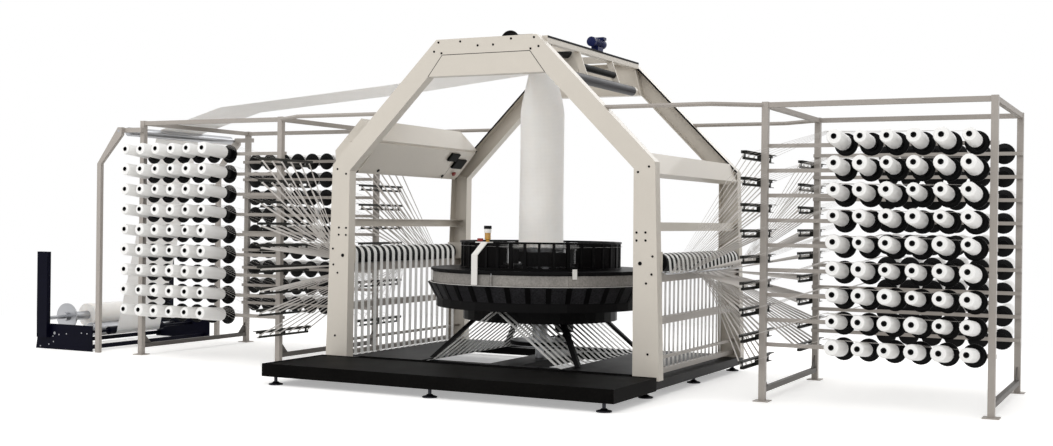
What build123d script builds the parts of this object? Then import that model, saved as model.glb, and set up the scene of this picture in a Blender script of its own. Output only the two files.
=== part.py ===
from build123d import *
import os
from math import asin, atan2, cos, degrees, hypot, pi, radians, sin

# Circular loom with two yarn creels, a cloth take-up and a winder.
# Millimetres. X to the right, Y to the back, Z up. The origin is on the floor
# below the axis of the weaving ring, on the sole of the foot under the drive.

# Gantry: two welded portals of folded channel
PORTAL_OUTER_Y = 1106
PORTAL_DEPTH = 100
SHEET = 6
LEG_FOOT_X = (1359, 1583)
LEG_FOOT_Z = 134
KNEE_OUTER = (1529, 1856)
KNEE_INNER = (1349, 1803)
CROWN_OUTER = (476, 2913)
CROWN_INNER = (555, 2600)
PORTAL_INNER_Y = PORTAL_OUTER_Y - PORTAL_DEPTH
PORTAL_WEB_Y = PORTAL_OUTER_Y - SHEET

# Beams between the portals, as X and Z
KNEE_TIE = [(1530, 1765), (1456, 1929), (1400, 1872), (1472, 1735)]
SIDE_BEAM_X = (1440, 1500)
SIDE_BEAM_Z = (1310, 1380)
CROWN_TIE_X = (470, 530)
CROWN_TIE_Z = (2853, 2913)

# Base and tray
BEAM_Z = (64, 134)
BEAM_X = (1400, 1560)
BEAM_Y = (-1200, 1150)
CROSS_BEAM_Y = (-1150, -728, 728, 1100)
CROSS_BEAM_WIDTH = 100
DRIVE_BEAM_HALF = 150
TRAY_X = (-1550, 1600)
TRAY_Y = (-2050, -1200)
TRAY_Z = (70, 175)
TRAY_SHEET = 8
TRAY_DEPTH = 5
BASE_FOOT_X = 1480
BASE_FOOT_Y = (-1120, 0, 1080)
TRAY_FOOT_X = (-1450, 30, 1500)
TRAY_FOOT_INSET = 60
FOOT_RADIUS = 60
FOOT_TAPER = 0.8
SOLE_HEIGHT = 22
STUD_RADIUS = 14

# Weaving ring, a polygon of 36 flats
FACETS = 36
STEP = 360 / FACETS
REED_RADIUS = (702, 728)
REED_Z = (950, 1194)
REED_RAIL = 16
REED_PILLAR = 26
REED_RAIL_PROUD = 8
DECK_RADIUS = (640, 1000)
DECK_Z = (930, 950)
HEALD_RADIUS = (966, 980)
HEALD_Z = (825, 917)
SKIRT_RADIUS = (950, 982)
HINGE_ANGLE = 271
HINGE_RADIUS = 986
HINGE_PIN = 3.5
KNUCKLE_RADIUS = 9
DOOR_GAP_HALF = 1.5
DOOR_TOP_GAP = 2
SHELF_Z = (1185, 1193)
SHELF_R = (760, 850)
BRACKET_SHEET = 8
BRACKET_BEND_Z = 1085
BRACKET_Y = (-85, -25)
SHELF_WING_Y = -150
CATCH = (10, (-60, -20), (890, 975))
OILER_STACK = ((14, 22), (27, 70), (34, 48))
CUP_PLACE = (800, -55)
VALVE_PLACE = (815, -122)
VALVE_STEM = 6
VALVE_KNOB = (18, 50)
DISH_FOOT = (945, 680)
DISH_RIM = (1020, 820)
DISH_WALL = 14
DISH_RIB = 46
DISH_RIB_PROUD = 6
DISH_MIDDLE = 980
DECK_POST_RADIUS = (905, 925)
BED_RADIUS = 945
BED_Z = (604, 680)
DRUM_RADIUS = 700
DRUM_Z = (490, 604)
DOOR_FACETS = range(27, 31)
LEG_TOP_RADIUS = 620
LEG_BOTTOM_RADIUS = 1029.5
LEG_SIZE = 44

# Drive
COLUMN_RADIUS = 40
SHAFT_RADIUS = 70
BEARING_HALF = 120
BEARING_HEIGHT = 40
RUNNING = 0.06
PULLEY_RADIUS = 260
PULLEY_Z = (250, 300)
MOTOR_Y = 520
MOTOR_RADIUS = 88
MOTOR_PULLEY_RADIUS = 65
MOTOR_BOTTOM = 330
MOTOR_SHAFT = 14
BELT = 8
BELT_GAP = 0.4
BELT_INSET = 8
CARRIER_Z = (955, 985)
CARRIER_RADIUS = 600
CARRIER_HUB = 100
CARRIER_ARM_HALF = 30
SHUTTLES = 6
SHUTTLE_STEP = 360 / SHUTTLES
SHUTTLE_RADIUS = (480, 670)
SHUTTLE_Z = (985, 1105)
SHUTTLE_OUTER_ANGLES = (-16, -8, 0, 8, 16)
SHUTTLE_INNER_ANGLES = (13, 0, -13)
SHUTTLE_WALL = 30
SHUTTLE_FLOOR = 20
WELL_HALF = 85
BOBBIN_RADIUS = 48
BOBBIN_HALF = 80
BOBBIN_HEIGHT = 68.5
BOBBIN_SIDES = 12
CLOTH_RADIUS = 205
CLOTH_RING_Z = (1100, 1134)
CLOTH_RING_INSET = 3
SHED_GAP = 1.6
SHED_Z = (1122, 1153)

# Warp feed at each side
FEED_X = 1500
FEED_Z = 1057
FEED_RADIUS = 75
FEED_HALF = 930
FEED_SHAFT = 20
BEARING_PLATE = 12
BEARING_PLATE_X = (-150, 60)
BEARING_PLATE_Z = (-70, 90)
SIDE_RAILS = ((1470, 1530, 905, 975), (1470, 1530, 568, 624), (1470, 1494, 278, 302), (1450, 1490, 160, 200))
BAND_COUNT = 18
BAND_PITCH = 102.3
BAND_WIDTH = 50
BAND_THICK = 1.5
BAND_X = 1423
BAND_LOW_Z = 149
BAND_TURN_X = 620
BAND_TOP = (175, 486)
WRAP_START = 30

# Creels
POST_X = (2327, 4018)
POST_Y = 812
POST_SIZE = 50
POST_TOP = 2325
POST_PLATE_HALF = 60
POST_PLATE = 8
TIE_Z = 2300
TIE_HALF = 20
FOOT_TIE_Z = (70, 110)
GUSSET = 110
GUSSET_HALF = 4
LINK_BEND_X = 1960
LINK_SIZE = 38
RAIL_SIZE = 30
ROWS = 9
COLUMNS = 6
ROW_TOP_Z = 1985
ROW_PITCH = 193
COLUMN_X = 2950
COLUMN_PITCH = 189
DISC_RADIUS = 87.5
DISC_THICK = 10
PACKAGE_RADIUS = 62
PACKAGE_END_Y = 1200
PACKAGE_RISE = 40
GUIDE_HALF = 415
GUIDE_TOP_Z = 1930
GUIDE_PITCH = 198
GUIDE_SIZE = (40, 24)
GUIDE_END = 60

# Cloth, take-up and winder
LAY_FLAT = 644
CLOTH_THICK = 1.5
CLOTH_GAP = 1.2
DRAW_CENTRE = (-81.5, 2960)
DRAW_RADIUS = 80
NIP_CENTRE = (61.2, 2960)
NIP_RADIUS = 60
ROLLER_HALF = 360
PLATE_Y = 420
PLATE_THICK = 12
PLATE_OUTLINE = [(-250, 2740), (150, 2740), (150, 2985), (100, 3025), (-130, 3025), (-250, 2900)]
CROWN_BEAM_WIDTH = 40
TAKEUP_SHAFT = 15
GUIDE_BAR = (-194.5, 2800)
GUIDE_BAR_RADIUS = 30
ARM_TUBE = (588, 2610)
ARM_TUBE_RADIUS = 42
ARM_TUBE_HALF = 750
ARM_Y = (-360, 360)
ARM_OUTLINE = [(470, 2853), (530, 2853), (620, 2610), (560, 2590)]
ARM_HALF = 6
WHEEL_RADII = (80, 95)
WHEEL_Y = (-515, -490)
WHEEL_HUB = (26, -485)
WHEEL_SPOKES = 3
SPOKE_HALF = 7
SPOKE_Y = (-509, -496)
SPOKE_REACH = 87
TAKEUP_MOTOR = (500, 2985)
TAKEUP_MOTOR_RADIUS = 45
TAKEUP_MOTOR_Y = (-60, 200)
GUIDE_ROLLER = (-4250, 2225)
GUIDE_ROLLER_RADIUS = 45
STAND_X = -4505
STAND_Y = 880
STAND_SIZE = (50, 40)
STAND_BEND_Z = 1900
ROLLER_REACH = 780
IDLER = (-4860, 170)
IDLER_RADIUS = 40
WINDER_HALF = 400
WINDER_DRUM = (-5120, 165)
WINDER_DRUM_RADIUS = 70
CLOTH_ROLL = (-5250, 311)
CLOTH_ROLL_RADIUS = 125
CORE_BORE = 45
CORE_RADIUS = 44.8
CORE_HALF = 640
ROLL_SHAFT_RADIUS = 20
ROLL_DISC_RADIUS = 140
ROLL_DISC_Y = (590, 608)
WINDER_PLATE_X = (-5380, -4600)
WINDER_PLATE_TOP = 260
WINDER_PLATE = 12
MAST_SIZE = (140, 50)
MAST_Z = (120, 1000)
SLOT_HALF = 22
SLOT_DEPTH = 44
SLOT_END_Z = 970
RAIL_Z = (20, 60)
CLOTH_TOP = 2915
TUBE_ROUND_Z = 2350
WEB_SAG = ((-1440, 2640), (-2480, 2560), (-3470, 2485))
WHEEL_SHAFT = 520
CLOTH_END = 148

# Control box under the left rafters, a leaning section in X and Z
BOX_SECTION = [(-1450, 1793), (-1200, 2085), (-1398, 2283), (-1677, 1998), (-1664, 1861), (-1620, 1833)]
BOX_Y = (-860, 950)
BOX_LUG = [(-1420, 1880), (-1330, 1985), (-1420, 2070), (-1510, 1965)]
BOX_DOOR = (30, 200, 1780, 330)
BOX_DOOR_THICK = 12
DISPLAYS = ((548, 290, 160, 90), (735, 215, 190, 110))
DISPLAY_THICK = 20
DOOR_GAP = 0.5
BUTTON_PLACE = (770, 90)
BUTTON_STEM = 12
BUTTON_NECK = 18
BUTTON_RADIUS = 24
BUTTON_LIFT = (26, 42)

# How far a cut runs past a face
OVER = 5


def box(x0, x1, y0, y1, z0, z1):
    """A block between two corners."""
    block = Box(x1 - x0, y1 - y0, z1 - z0)
    return block.moved(Location(((x0 + x1) / 2, (y0 + y1) / 2, (z0 + z1) / 2)))


def polyhedron(lower, upper, split=False):
    """A closed solid between two loops of points, with flat sides or sides split in triangles."""
    count = len(lower)
    loops = [list(reversed(lower)), list(upper)]
    for i in range(count):
        j = (i + 1) % count
        if split:
            loops.append([lower[i], lower[j], upper[j]])
            loops.append([lower[i], upper[j], upper[i]])
        else:
            loops.append([lower[i], lower[j], upper[j], upper[i]])
    faces = [Face(Wire.make_polygon([Vector(*p) for p in loop], close=True)) for loop in loops]
    return Solid(Shell(faces))


def polygon_points(radius, count):
    """Corners of a regular polygon about nought, the first on the first axis."""
    return [(radius * cos(2 * pi * k / count), radius * sin(2 * pi * k / count)) for k in range(count)]


def prism_y(section, y0, y1):
    """An XZ outline carried along Y."""
    area = (section[0][0] * section[-1][1] - section[-1][0] * section[0][1])
    for (xa, za), (xb, zb) in zip(section, section[1:]):
        area += xb * za - xa * zb
    outline = list(section) if area < 0 else list(reversed(section))
    return polyhedron([(x, y1, z) for x, z in outline], [(x, y0, z) for x, z in outline])


def rod(radius, start, end):
    """A round bar between two points."""
    axis = Vector(*end) - Vector(*start)
    return Solid.make_cylinder(radius, axis.length, Plane(origin=Vector(*start), z_dir=axis))


def rod_y(radius, centre, y0, y1):
    """A round bar along Y about an XZ centre."""
    return rod(radius, (centre[0], y0, centre[1]), (centre[0], y1, centre[1]))


def mirror_x(solids):
    """The solids and their twins on the other side of the machine."""
    return list(solids) + [s.mirror(Plane.YZ) for s in solids]


def mirror_y(solids):
    """The solids and their twins behind."""
    return list(solids) + [s.mirror(Plane.XZ) for s in solids]


def save(name, solids):
    """Write one sub-part, with every solid of it, to its own file."""
    pieces = []
    for solid in solids if isinstance(solids, (list, tuple)) else [solids]:
        pieces.extend(solid.solids())
    whole = Compound(children=pieces) if len(pieces) > 1 else pieces[0]
    export_step(whole, f"parts/{name}.step")


def polar(radius, angle, z=0.0):
    """A point at a radius and an angle in degrees about the ring's axis."""
    return (radius * cos(radians(angle)), radius * sin(radians(angle)), z)


def ring_block(facet, low, high, fill=1.0, shift=0.0):
    """One flat of the ring between (inner, outer, z) below and above; fill is its share of the step."""
    middle = (facet + 0.5 + shift) * STEP
    half = STEP * fill / 2

    def corners(level):
        inner, outer, z = level
        return [polar(inner, middle - half, z), polar(outer, middle - half, z),
                polar(outer, middle + half, z), polar(inner, middle + half, z)]

    return polyhedron(corners(low), corners(high))


def ring_of(low, high, facets=range(FACETS), fill=1.0, shift=0.0):
    """The blocks of a ring, one for each flat."""
    return [ring_block(i, low, high, fill, shift) for i in facets]


def tangent_direction(first, second):
    """Travel angle of a web between two rollers given as (x, z, signed radius)."""
    dx, dz = second[0] - first[0], second[1] - first[1]
    return atan2(dz, dx) + asin((first[2] - second[2]) / hypot(dx, dz))


def web_path(stations, end_angle, arc_step=24):
    """Points of a web that runs over rollers; a positive radius is passed counterclockwise.

    Between rollers it is the common tangent, and round a roller it is the corners of a tangent
    polygon, so the web stays outside the roller. The last roller is left at end_angle, in degrees.
    """
    points = [stations[0][:2]]
    heading = tangent_direction(stations[0], stations[1])
    for i in range(1, len(stations)):
        x, z, radius = stations[i]
        if radius == 0:
            points.append((x, z))
            if i + 1 < len(stations):
                heading = tangent_direction(stations[i], stations[i + 1])
            continue
        side = -90 if radius > 0 else 90
        enter = degrees(heading) + side
        if i + 1 < len(stations):
            heading = tangent_direction(stations[i], stations[i + 1])
            leave = degrees(heading) + side
        else:
            leave = end_angle
        sweep = (leave - enter) % 360 if radius > 0 else -((enter - leave) % 360)
        parts = max(1, round(abs(sweep) / arc_step))
        corner = abs(radius) / cos(radians(sweep / parts / 2))
        for k in range(parts):
            angle = radians(enter + sweep * (k + 0.5) / parts)
            points.append((x + corner * cos(angle), z + corner * sin(angle)))
    last_x, last_z, last_radius = stations[-1]
    points.append((last_x + abs(last_radius) * cos(radians(end_angle)),
                   last_z + abs(last_radius) * sin(radians(end_angle))))
    return points


def ribbon(path, thick, y0, y1):
    """A thin web of even thickness along an XZ path, between two Y values."""
    sides = ([], [])
    for i, (x, z) in enumerate(path):
        before = path[max(i - 1, 0)]
        after = path[min(i + 1, len(path) - 1)]
        first = atan2(z - before[1], x - before[0]) if i else None
        last = atan2(after[1] - z, after[0] - x) if i < len(path) - 1 else None
        first = last if first is None else first
        last = first if last is None else last
        turn = (last - first + pi) % (2 * pi) - pi
        normal = first + turn / 2 + pi / 2
        reach = thick / 2 / cos(turn / 2)
        for side, sign in zip(sides, (1, -1)):
            side.append((x + sign * reach * cos(normal), z + sign * reach * sin(normal)))
    return prism_y(sides[0] + list(reversed(sides[1])), y0, y1)


def channel(outline, y_open, y_face):
    """A folded channel: an XZ outline with its face at y_face and its flanges running to y_open."""
    y0, y1 = min(y_open, y_face), max(y_open, y_face)
    body = prism_y(outline, y0, y1)
    inner = offset(Polyline(*[(x, z) for x, z in outline], close=True), -SHEET, kind=Kind.INTERSECTION)
    hollow = [(v.X, v.Y) for v in inner.vertices()]
    cx = sum(x for x, _ in hollow) / len(hollow)
    cz = sum(z for _, z in hollow) / len(hollow)
    hollow.sort(key=lambda p: atan2(p[1] - cz, p[0] - cx))
    depth = SHEET if y_face > y_open else -SHEET
    cut = prism_y(hollow, *sorted((y_open - depth, y_face - depth)))
    return body - cut


def portal_legs():
    """Four tapered legs, open towards the middle of the machine."""
    outline = [(LEG_FOOT_X[1], LEG_FOOT_Z), KNEE_OUTER, KNEE_INNER, (LEG_FOOT_X[0], LEG_FOOT_Z)]
    front = channel(outline, -PORTAL_INNER_Y, -PORTAL_OUTER_Y)
    return mirror_y(mirror_x([front]))


def rafters():
    """Four inclined members from the knees to the crown."""
    outline = [KNEE_OUTER, CROWN_OUTER, CROWN_INNER, KNEE_INNER]
    front = channel(outline, -PORTAL_INNER_Y, -PORTAL_OUTER_Y)
    return mirror_y(mirror_x([front]))


def crown_beams():
    """The two top beams, each with a folded step along its face."""
    (xo, zo), (xi, zi) = CROWN_OUTER, CROWN_INNER
    front = channel([(-xo, zo), (xo, zo), (xi, zi), (-xi, zi)], -PORTAL_INNER_Y, -PORTAL_OUTER_Y)
    return mirror_y([front])


def long_beams():
    """Beams along the machine between the portals: knees, sides and crown."""
    y = PORTAL_INNER_Y
    knee = prism_y(KNEE_TIE, -y, y)
    (x0, x1), (z0, z1) = SIDE_BEAM_X, SIDE_BEAM_Z
    side_section = [(x1, z0), (x1, z1), (x0, z1), (x0, z1 - SHEET), (x1 - SHEET, z1 - SHEET),
                    (x1 - SHEET, z0 + SHEET), (x0, z0 + SHEET), (x0, z0)]
    side = prism_y(side_section, -PORTAL_WEB_Y, PORTAL_WEB_Y)
    crown = box(*CROWN_TIE_X, -y, y, *CROWN_TIE_Z)
    return [knee, side, side.mirror(Plane.YZ), crown, crown.mirror(Plane.YZ)]


def base_beams():
    """Two long beams and four cross beams, with a broad one under the drive."""
    z0, z1 = BEAM_Z
    right = box(BEAM_X[0], BEAM_X[1], *BEAM_Y, z0, z1)
    half = CROSS_BEAM_WIDTH / 2
    beams = mirror_x([right])
    beams += [box(-BEAM_X[0], BEAM_X[0], y - half, y + half, z0, z1) for y in CROSS_BEAM_Y]
    inner = CROSS_BEAM_Y[2] - half
    beams.append(box(-DRIVE_BEAM_HALF, DRIVE_BEAM_HALF, -inner, inner, z0, z1))
    return beams


def tray():
    """The oil and walk-on tray in front, a folded pan with a rim."""
    (x0, x1), (y0, y1), (z0, z1) = TRAY_X, TRAY_Y, TRAY_Z
    inside = (x0 + TRAY_SHEET, x1 - TRAY_SHEET, y0 + TRAY_SHEET, y1 - TRAY_SHEET)
    pan = box(*inside, z1 - TRAY_DEPTH, z1 + OVER)
    under = box(*inside, z0 - OVER, z1 - TRAY_DEPTH - TRAY_SHEET)
    return box(x0, x1, y0, y1, z0, z1) - pan - under


def levelling_feet():
    """Round soles on threaded studs, under the base, the tray and the drive."""
    tray_top = TRAY_Z[1] - TRAY_DEPTH - TRAY_SHEET
    spots = [(x, y, BEAM_Z[0]) for x in (-BASE_FOOT_X, BASE_FOOT_X) for y in BASE_FOOT_Y]
    spots.append((0, 0, BEAM_Z[0]))
    spots += [(x, TRAY_Y[0] + TRAY_FOOT_INSET, tray_top) for x in TRAY_FOOT_X]
    sole, stud = polygon_points(FOOT_RADIUS, 10), polygon_points(STUD_RADIUS, 6)
    feet = []
    for x, y, top in spots:
        feet.append(polyhedron([(x + a, y + b, 0) for a, b in sole],
                               [(x + a * FOOT_TAPER, y + b * FOOT_TAPER, SOLE_HEIGHT) for a, b in sole]))
        feet.append(polyhedron([(x + a, y + b, SOLE_HEIGHT) for a, b in stud],
                               [(x + a, y + b, top) for a, b in stud]))
    return feet


def ring_legs():
    """Four splayed struts between the drive casing and the cross beams."""
    half = LEG_SIZE / 2
    struts = []
    for angle in (45, 135, 225, 315):
        top, foot = polar(LEG_TOP_RADIUS, angle), polar(LEG_BOTTOM_RADIUS, angle)
        corners = [(-half, -half), (half, -half), (half, half), (-half, half)]
        struts.append(polyhedron([(foot[0] + a, foot[1] + b, BEAM_Z[1]) for a, b in corners],
                                 [(top[0] + a, top[1] + b, DRUM_Z[0]) for a, b in corners]))
    return struts


def many_sided(radius, z0, z1, bore):
    """A flat-sided disc of the ring's facet count, with a round bore."""
    low = [polar(radius, STEP * i, z0) for i in range(FACETS)]
    high = [polar(radius, STEP * i, z1) for i in range(FACETS)]
    return polyhedron(low, high) - rod(bore, (0, 0, z0 - 1), (0, 0, z1 + 1))


def shaft_bearings():
    """Square flanged bearings above the bed and below the drive casing."""
    half = BEARING_HALF
    blocks = []
    for z0 in (DRUM_Z[0] - BEARING_HEIGHT, BED_Z[1]):
        z1 = z0 + BEARING_HEIGHT
        block = box(-half, half, -half, half, z0, z1)
        blocks.append(block - rod(SHAFT_RADIUS + RUNNING, (0, 0, z0 - 1), (0, 0, z1 + 1)))
    return blocks


def main_shaft():
    """The hollow shaft that turns round the fixed column, with its belt pulley."""
    shaft = rod(SHAFT_RADIUS, (0, 0, PULLEY_Z[1]), (0, 0, CARRIER_Z[0]))
    wheel = rod(PULLEY_RADIUS, (0, 0, PULLEY_Z[0]), (0, 0, PULLEY_Z[1]))
    bore = rod(COLUMN_RADIUS + RUNNING, (0, 0, PULLEY_Z[0] - 1), (0, 0, CARRIER_Z[0] + 1))
    return shaft + wheel - bore


def shuttle_carrier():
    """Six arms on a hub that push the shuttles round."""
    z0, z1 = CARRIER_Z
    whole = rod(CARRIER_HUB, (0, 0, z0), (0, 0, z1))
    for k in range(SHUTTLES):
        arm = box(CARRIER_HUB / 2, CARRIER_RADIUS, -CARRIER_ARM_HALF, CARRIER_ARM_HALF, z0, z1)
        whole += arm.rotate(Axis.Z, SHUTTLE_STEP * k)
    return whole - rod(COLUMN_RADIUS + RUNNING, (0, 0, z0 - 1), (0, 0, z1 + 1))


def shuttles():
    """Six curved boats, each with an open well for its weft bobbin."""
    boats = []
    inner, outer = SHUTTLE_RADIUS
    z0, z1 = SHUTTLE_Z
    for k in range(SHUTTLES):
        centre = SHUTTLE_STEP * k
        low, high = [], []
        for radius, angles in ((outer, SHUTTLE_OUTER_ANGLES), (inner, SHUTTLE_INNER_ANGLES)):
            for angle in angles:
                low.append(polar(radius, centre + angle, z0))
                high.append(polar(radius, centre + angle, z1))
        well = box(inner + SHUTTLE_WALL, outer - SHUTTLE_WALL, -WELL_HALF, WELL_HALF,
                   z0 + SHUTTLE_FLOOR, z1 + OVER)
        boats.append(polyhedron(low, high) - well.rotate(Axis.Z, centre))
    return boats


def weft_bobbins():
    """The weft packages lying in the shuttles."""
    middle = (SHUTTLE_RADIUS[0] + SHUTTLE_RADIUS[1]) / 2
    z = SHUTTLE_Z[0] + BOBBIN_HEIGHT
    outline = [(middle + a, z + b) for a, b in polygon_points(BOBBIN_RADIUS, BOBBIN_SIDES)]
    bobbin = prism_y(outline, -BOBBIN_HALF, BOBBIN_HALF)
    return [bobbin.rotate(Axis.Z, SHUTTLE_STEP * k) for k in range(SHUTTLES)]


def cloth_ring():
    """The fixed column with the ring that forms the cloth on its top."""
    column = rod(COLUMN_RADIUS, (0, 0, BEAM_Z[1]), (0, 0, CLOTH_RING_Z[0]))
    plate = rod(CLOTH_RADIUS - CLOTH_RING_INSET, (0, 0, CLOTH_RING_Z[0]), (0, 0, CLOTH_RING_Z[1]))
    return column + plate


def belt_outline(big, small, distance):
    """Right half of the outline of a belt round two pulleys, as its two tangent points."""
    lean = asin((big - small) / distance)
    return (big * cos(lean), big * sin(lean)), (small * cos(lean), distance + small * sin(lean))


def drive_belt():
    """A flat belt round the shaft pulley and the motor pulley."""
    z0, z1 = PULLEY_Z[0] + BELT_INSET, PULLEY_Z[1] - BELT_INSET

    def loop(grow):
        big, small = PULLEY_RADIUS + BELT_GAP + grow, MOTOR_PULLEY_RADIUS + BELT_GAP + grow
        (bx, by), (sx, sy) = belt_outline(big, small, MOTOR_Y)
        around_big = ThreePointArc((-bx, by), (0, -big), (bx, by))
        around_small = ThreePointArc((sx, sy), (0, MOTOR_Y + small), (-sx, sy))
        edges = [around_big, Line((bx, by), (sx, sy)), around_small, Line((-sx, sy), (-bx, by))]
        return make_face(Wire(edges))

    ring = loop(BELT) - loop(0)
    return extrude(ring, z1 - z0).moved(Location((0, 0, z0)))


def main_motor():
    """Motor hung from the drive casing, its shaft downwards."""
    body = rod(MOTOR_RADIUS, (0, MOTOR_Y, MOTOR_BOTTOM), (0, MOTOR_Y, DRUM_Z[0]))
    shaft = rod(MOTOR_SHAFT, (0, MOTOR_Y, PULLEY_Z[1] + 1), (0, MOTOR_Y, MOTOR_BOTTOM))
    return body + shaft


def motor_pulley():
    """Small pulley on the motor shaft."""
    return rod(MOTOR_PULLEY_RADIUS, (0, MOTOR_Y, PULLEY_Z[0]), (0, MOTOR_Y, PULLEY_Z[1]))


def dish_rib_share():
    """Share of a facet's width that a rib takes."""
    return DISH_RIB / (2 * pi * DISH_MIDDLE / FACETS)


def dish_panels():
    """Flat wall panels of the dish, each between two ribs."""
    low = (DISH_FOOT[0] - DISH_WALL, DISH_FOOT[0], DISH_FOOT[1])
    high = (DISH_RIM[0] - DISH_WALL, DISH_RIM[0], DISH_RIM[1])
    gap = 0.004
    return ring_of(low, high, fill=1 - dish_rib_share() - gap)


def dish_ribs():
    """Black ribs that frame the panels and stand a little proud of them."""
    low = (DISH_FOOT[0] - DISH_WALL, DISH_FOOT[0] + DISH_RIB_PROUD, DISH_FOOT[1])
    high = (DISH_RIM[0] - DISH_WALL, DISH_RIM[0] + DISH_RIB_PROUD, DISH_RIM[1])
    return ring_of(low, high, fill=dish_rib_share(), shift=0.5)


def deck_supports():
    """Posts between the bed and the deck, inside the dish."""
    low, high = (*DECK_POST_RADIUS, BED_Z[1]), (*DECK_POST_RADIUS, DECK_Z[0])
    return ring_of(low, high, facets=range(0, FACETS, 3), fill=0.3)


def ring_deck():
    """The deck that the reed stands on, with the skirt that the heald band hangs from."""
    deck = ring_of((*DECK_RADIUS, DECK_Z[0]), (*DECK_RADIUS, DECK_Z[1]))
    return deck + ring_of((*SKIRT_RADIUS, HEALD_Z[1]), (*SKIRT_RADIUS, DECK_Z[0]))


def heald_band():
    """The pale band of the heald guides, apart from the door."""
    facets = [i for i in range(FACETS) if i not in DOOR_FACETS]
    return ring_of((*HEALD_RADIUS, HEALD_Z[0]), (*HEALD_RADIUS, HEALD_Z[1]), facets=facets)


def shuttle_door():
    """The hinged stretch of the band through which the shuttles are reached."""
    z0, z1 = HEALD_Z
    panel = None
    for i in DOOR_FACETS:
        block = ring_block(i, (*HEALD_RADIUS, z0), (*HEALD_RADIUS, z1 - DOOR_TOP_GAP))
        panel = block if panel is None else panel + block
    across = (HEALD_RADIUS[0] - 66, HEALD_RADIUS[1] + 70)
    for angle in (DOOR_FACETS[0] * STEP, (DOOR_FACETS[-1] + 1) * STEP):
        panel -= box(*across, -DOOR_GAP_HALF, DOOR_GAP_HALF, z0 - OVER, z1 + OVER).rotate(Axis.Z, angle)
    hinge_x, hinge_y, _ = polar(HINGE_RADIUS, HINGE_ANGLE)
    knuckle = rod(KNUCKLE_RADIUS, (hinge_x, hinge_y, z0 + 10), (hinge_x, hinge_y, z1 - 12))
    bore = rod(HINGE_PIN + RUNNING, (hinge_x, hinge_y, z0), (hinge_x, hinge_y, z1))
    return panel + knuckle - bore


def hinge_pin():
    """The pin under the deck that the door turns on."""
    x, y, _ = polar(HINGE_RADIUS, HINGE_ANGLE)
    return rod(HINGE_PIN, (x, y, HEALD_Z[0] + 4), (x, y, DECK_Z[0]))


def on_facet(solid, facet):
    """A solid drawn with X outwards and Y along the flat, turned to a facet of the ring."""
    return solid.rotate(Axis.Z, (facet + 0.5) * STEP)


def ring_brackets():
    """White folded bracket that carries the oiler, and the door's catch, both on the deck's edge."""
    edge = DECK_RADIUS[1] * cos(radians(STEP / 2))
    sheet, fold = BRACKET_SHEET, BRACKET_SHEET / 2
    low, bend = HEALD_Z[0] + 3, BRACKET_BEND_Z
    profile = [(edge, low), (edge + sheet, low), (edge + sheet, bend), (SHELF_R[1], SHELF_Z[1]),
               (SHELF_R[0], SHELF_Z[1]), (SHELF_R[0], SHELF_Z[0]), (SHELF_R[1] - fold, SHELF_Z[0]),
               (edge, bend - fold)]
    bracket = prism_y(profile, *BRACKET_Y)
    bracket += box(*SHELF_R, SHELF_WING_Y, BRACKET_Y[0], *SHELF_Z)
    bracket -= rod(VALVE_STEM + RUNNING, (*VALVE_PLACE, SHELF_Z[0] - 1), (*VALVE_PLACE, SHELF_Z[1] + 1))
    thick, catch_y, catch_z = CATCH
    catch = box(edge, edge + thick, *catch_y, *catch_z)
    return [on_facet(bracket, DOOR_FACETS[0] - 1), on_facet(catch, DOOR_FACETS[-1] + 1)]


def oil_cup():
    """Oiler: brass neck, glass cup and black cap in one stack on the bracket's shelf."""
    z = SHELF_Z[1]
    stack = None
    for radius, height in OILER_STACK:
        piece = rod(radius, (*CUP_PLACE, z), (*CUP_PLACE, z + height))
        stack = piece if stack is None else stack + piece
        z += height
    return on_facet(stack, DOOR_FACETS[0] - 1)


def oil_valve():
    """Knob of the oil valve, its stem through the bracket's shelf."""
    top = SHELF_Z[1]
    x, y = VALVE_PLACE
    half_x, half_y = VALVE_KNOB[0] / 2, VALVE_KNOB[1] / 2
    stem = rod(VALVE_STEM, (x, y, SHELF_Z[0] - 12), (x, y, top + 10))
    knob = box(x - half_x, x + half_x, y - half_y, y + half_y, top + 4, top + 30)
    return on_facet(stem + knob, DOOR_FACETS[0] - 1)


def reed():
    """Pillars of the reed between a lower and an upper rail."""
    z0, z1 = REED_Z
    fill = REED_PILLAR / (2 * pi * REED_RADIUS[1] / FACETS)
    rail = (REED_RADIUS[0] - REED_RAIL_PROUD, REED_RADIUS[1] + REED_RAIL_PROUD)
    pillars = ring_of((*REED_RADIUS, z0 + REED_RAIL), (*REED_RADIUS, z1 - REED_RAIL), fill=fill)
    lower = ring_of((*rail, z0), (*rail, z0 + REED_RAIL))
    upper = ring_of((*rail, z1 - REED_RAIL), (*rail, z1))
    return pillars + lower + upper


def warp_shed():
    """Warp from the reed to the cloth ring, one flat strip for each gap of the reed."""
    outer, inner = REED_RADIUS[1] + 15, CLOTH_RADIUS + 2
    z_in, z_out = SHED_Z
    strips = []
    for i in range(FACETS):
        a, b = (i + 0.5) * STEP + SHED_GAP, (i + 1.5) * STEP - SHED_GAP
        low = [polar(inner, a, z_in), polar(outer, a, z_out), polar(outer, b, z_out), polar(inner, b, z_in)]
        high = [(x, y, z + BAND_THICK) for x, y, z in low]
        strips.append(polyhedron(low, high))
    return strips


def feed_roller():
    """Rubber-covered warp feed roller of the right side, with its shaft."""
    centre = (FEED_X, FEED_Z)
    body = rod_y(FEED_RADIUS, centre, -FEED_HALF, FEED_HALF)
    reach = PORTAL_INNER_Y - 3
    return body + rod_y(FEED_SHAFT, centre, -reach, reach)


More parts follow.
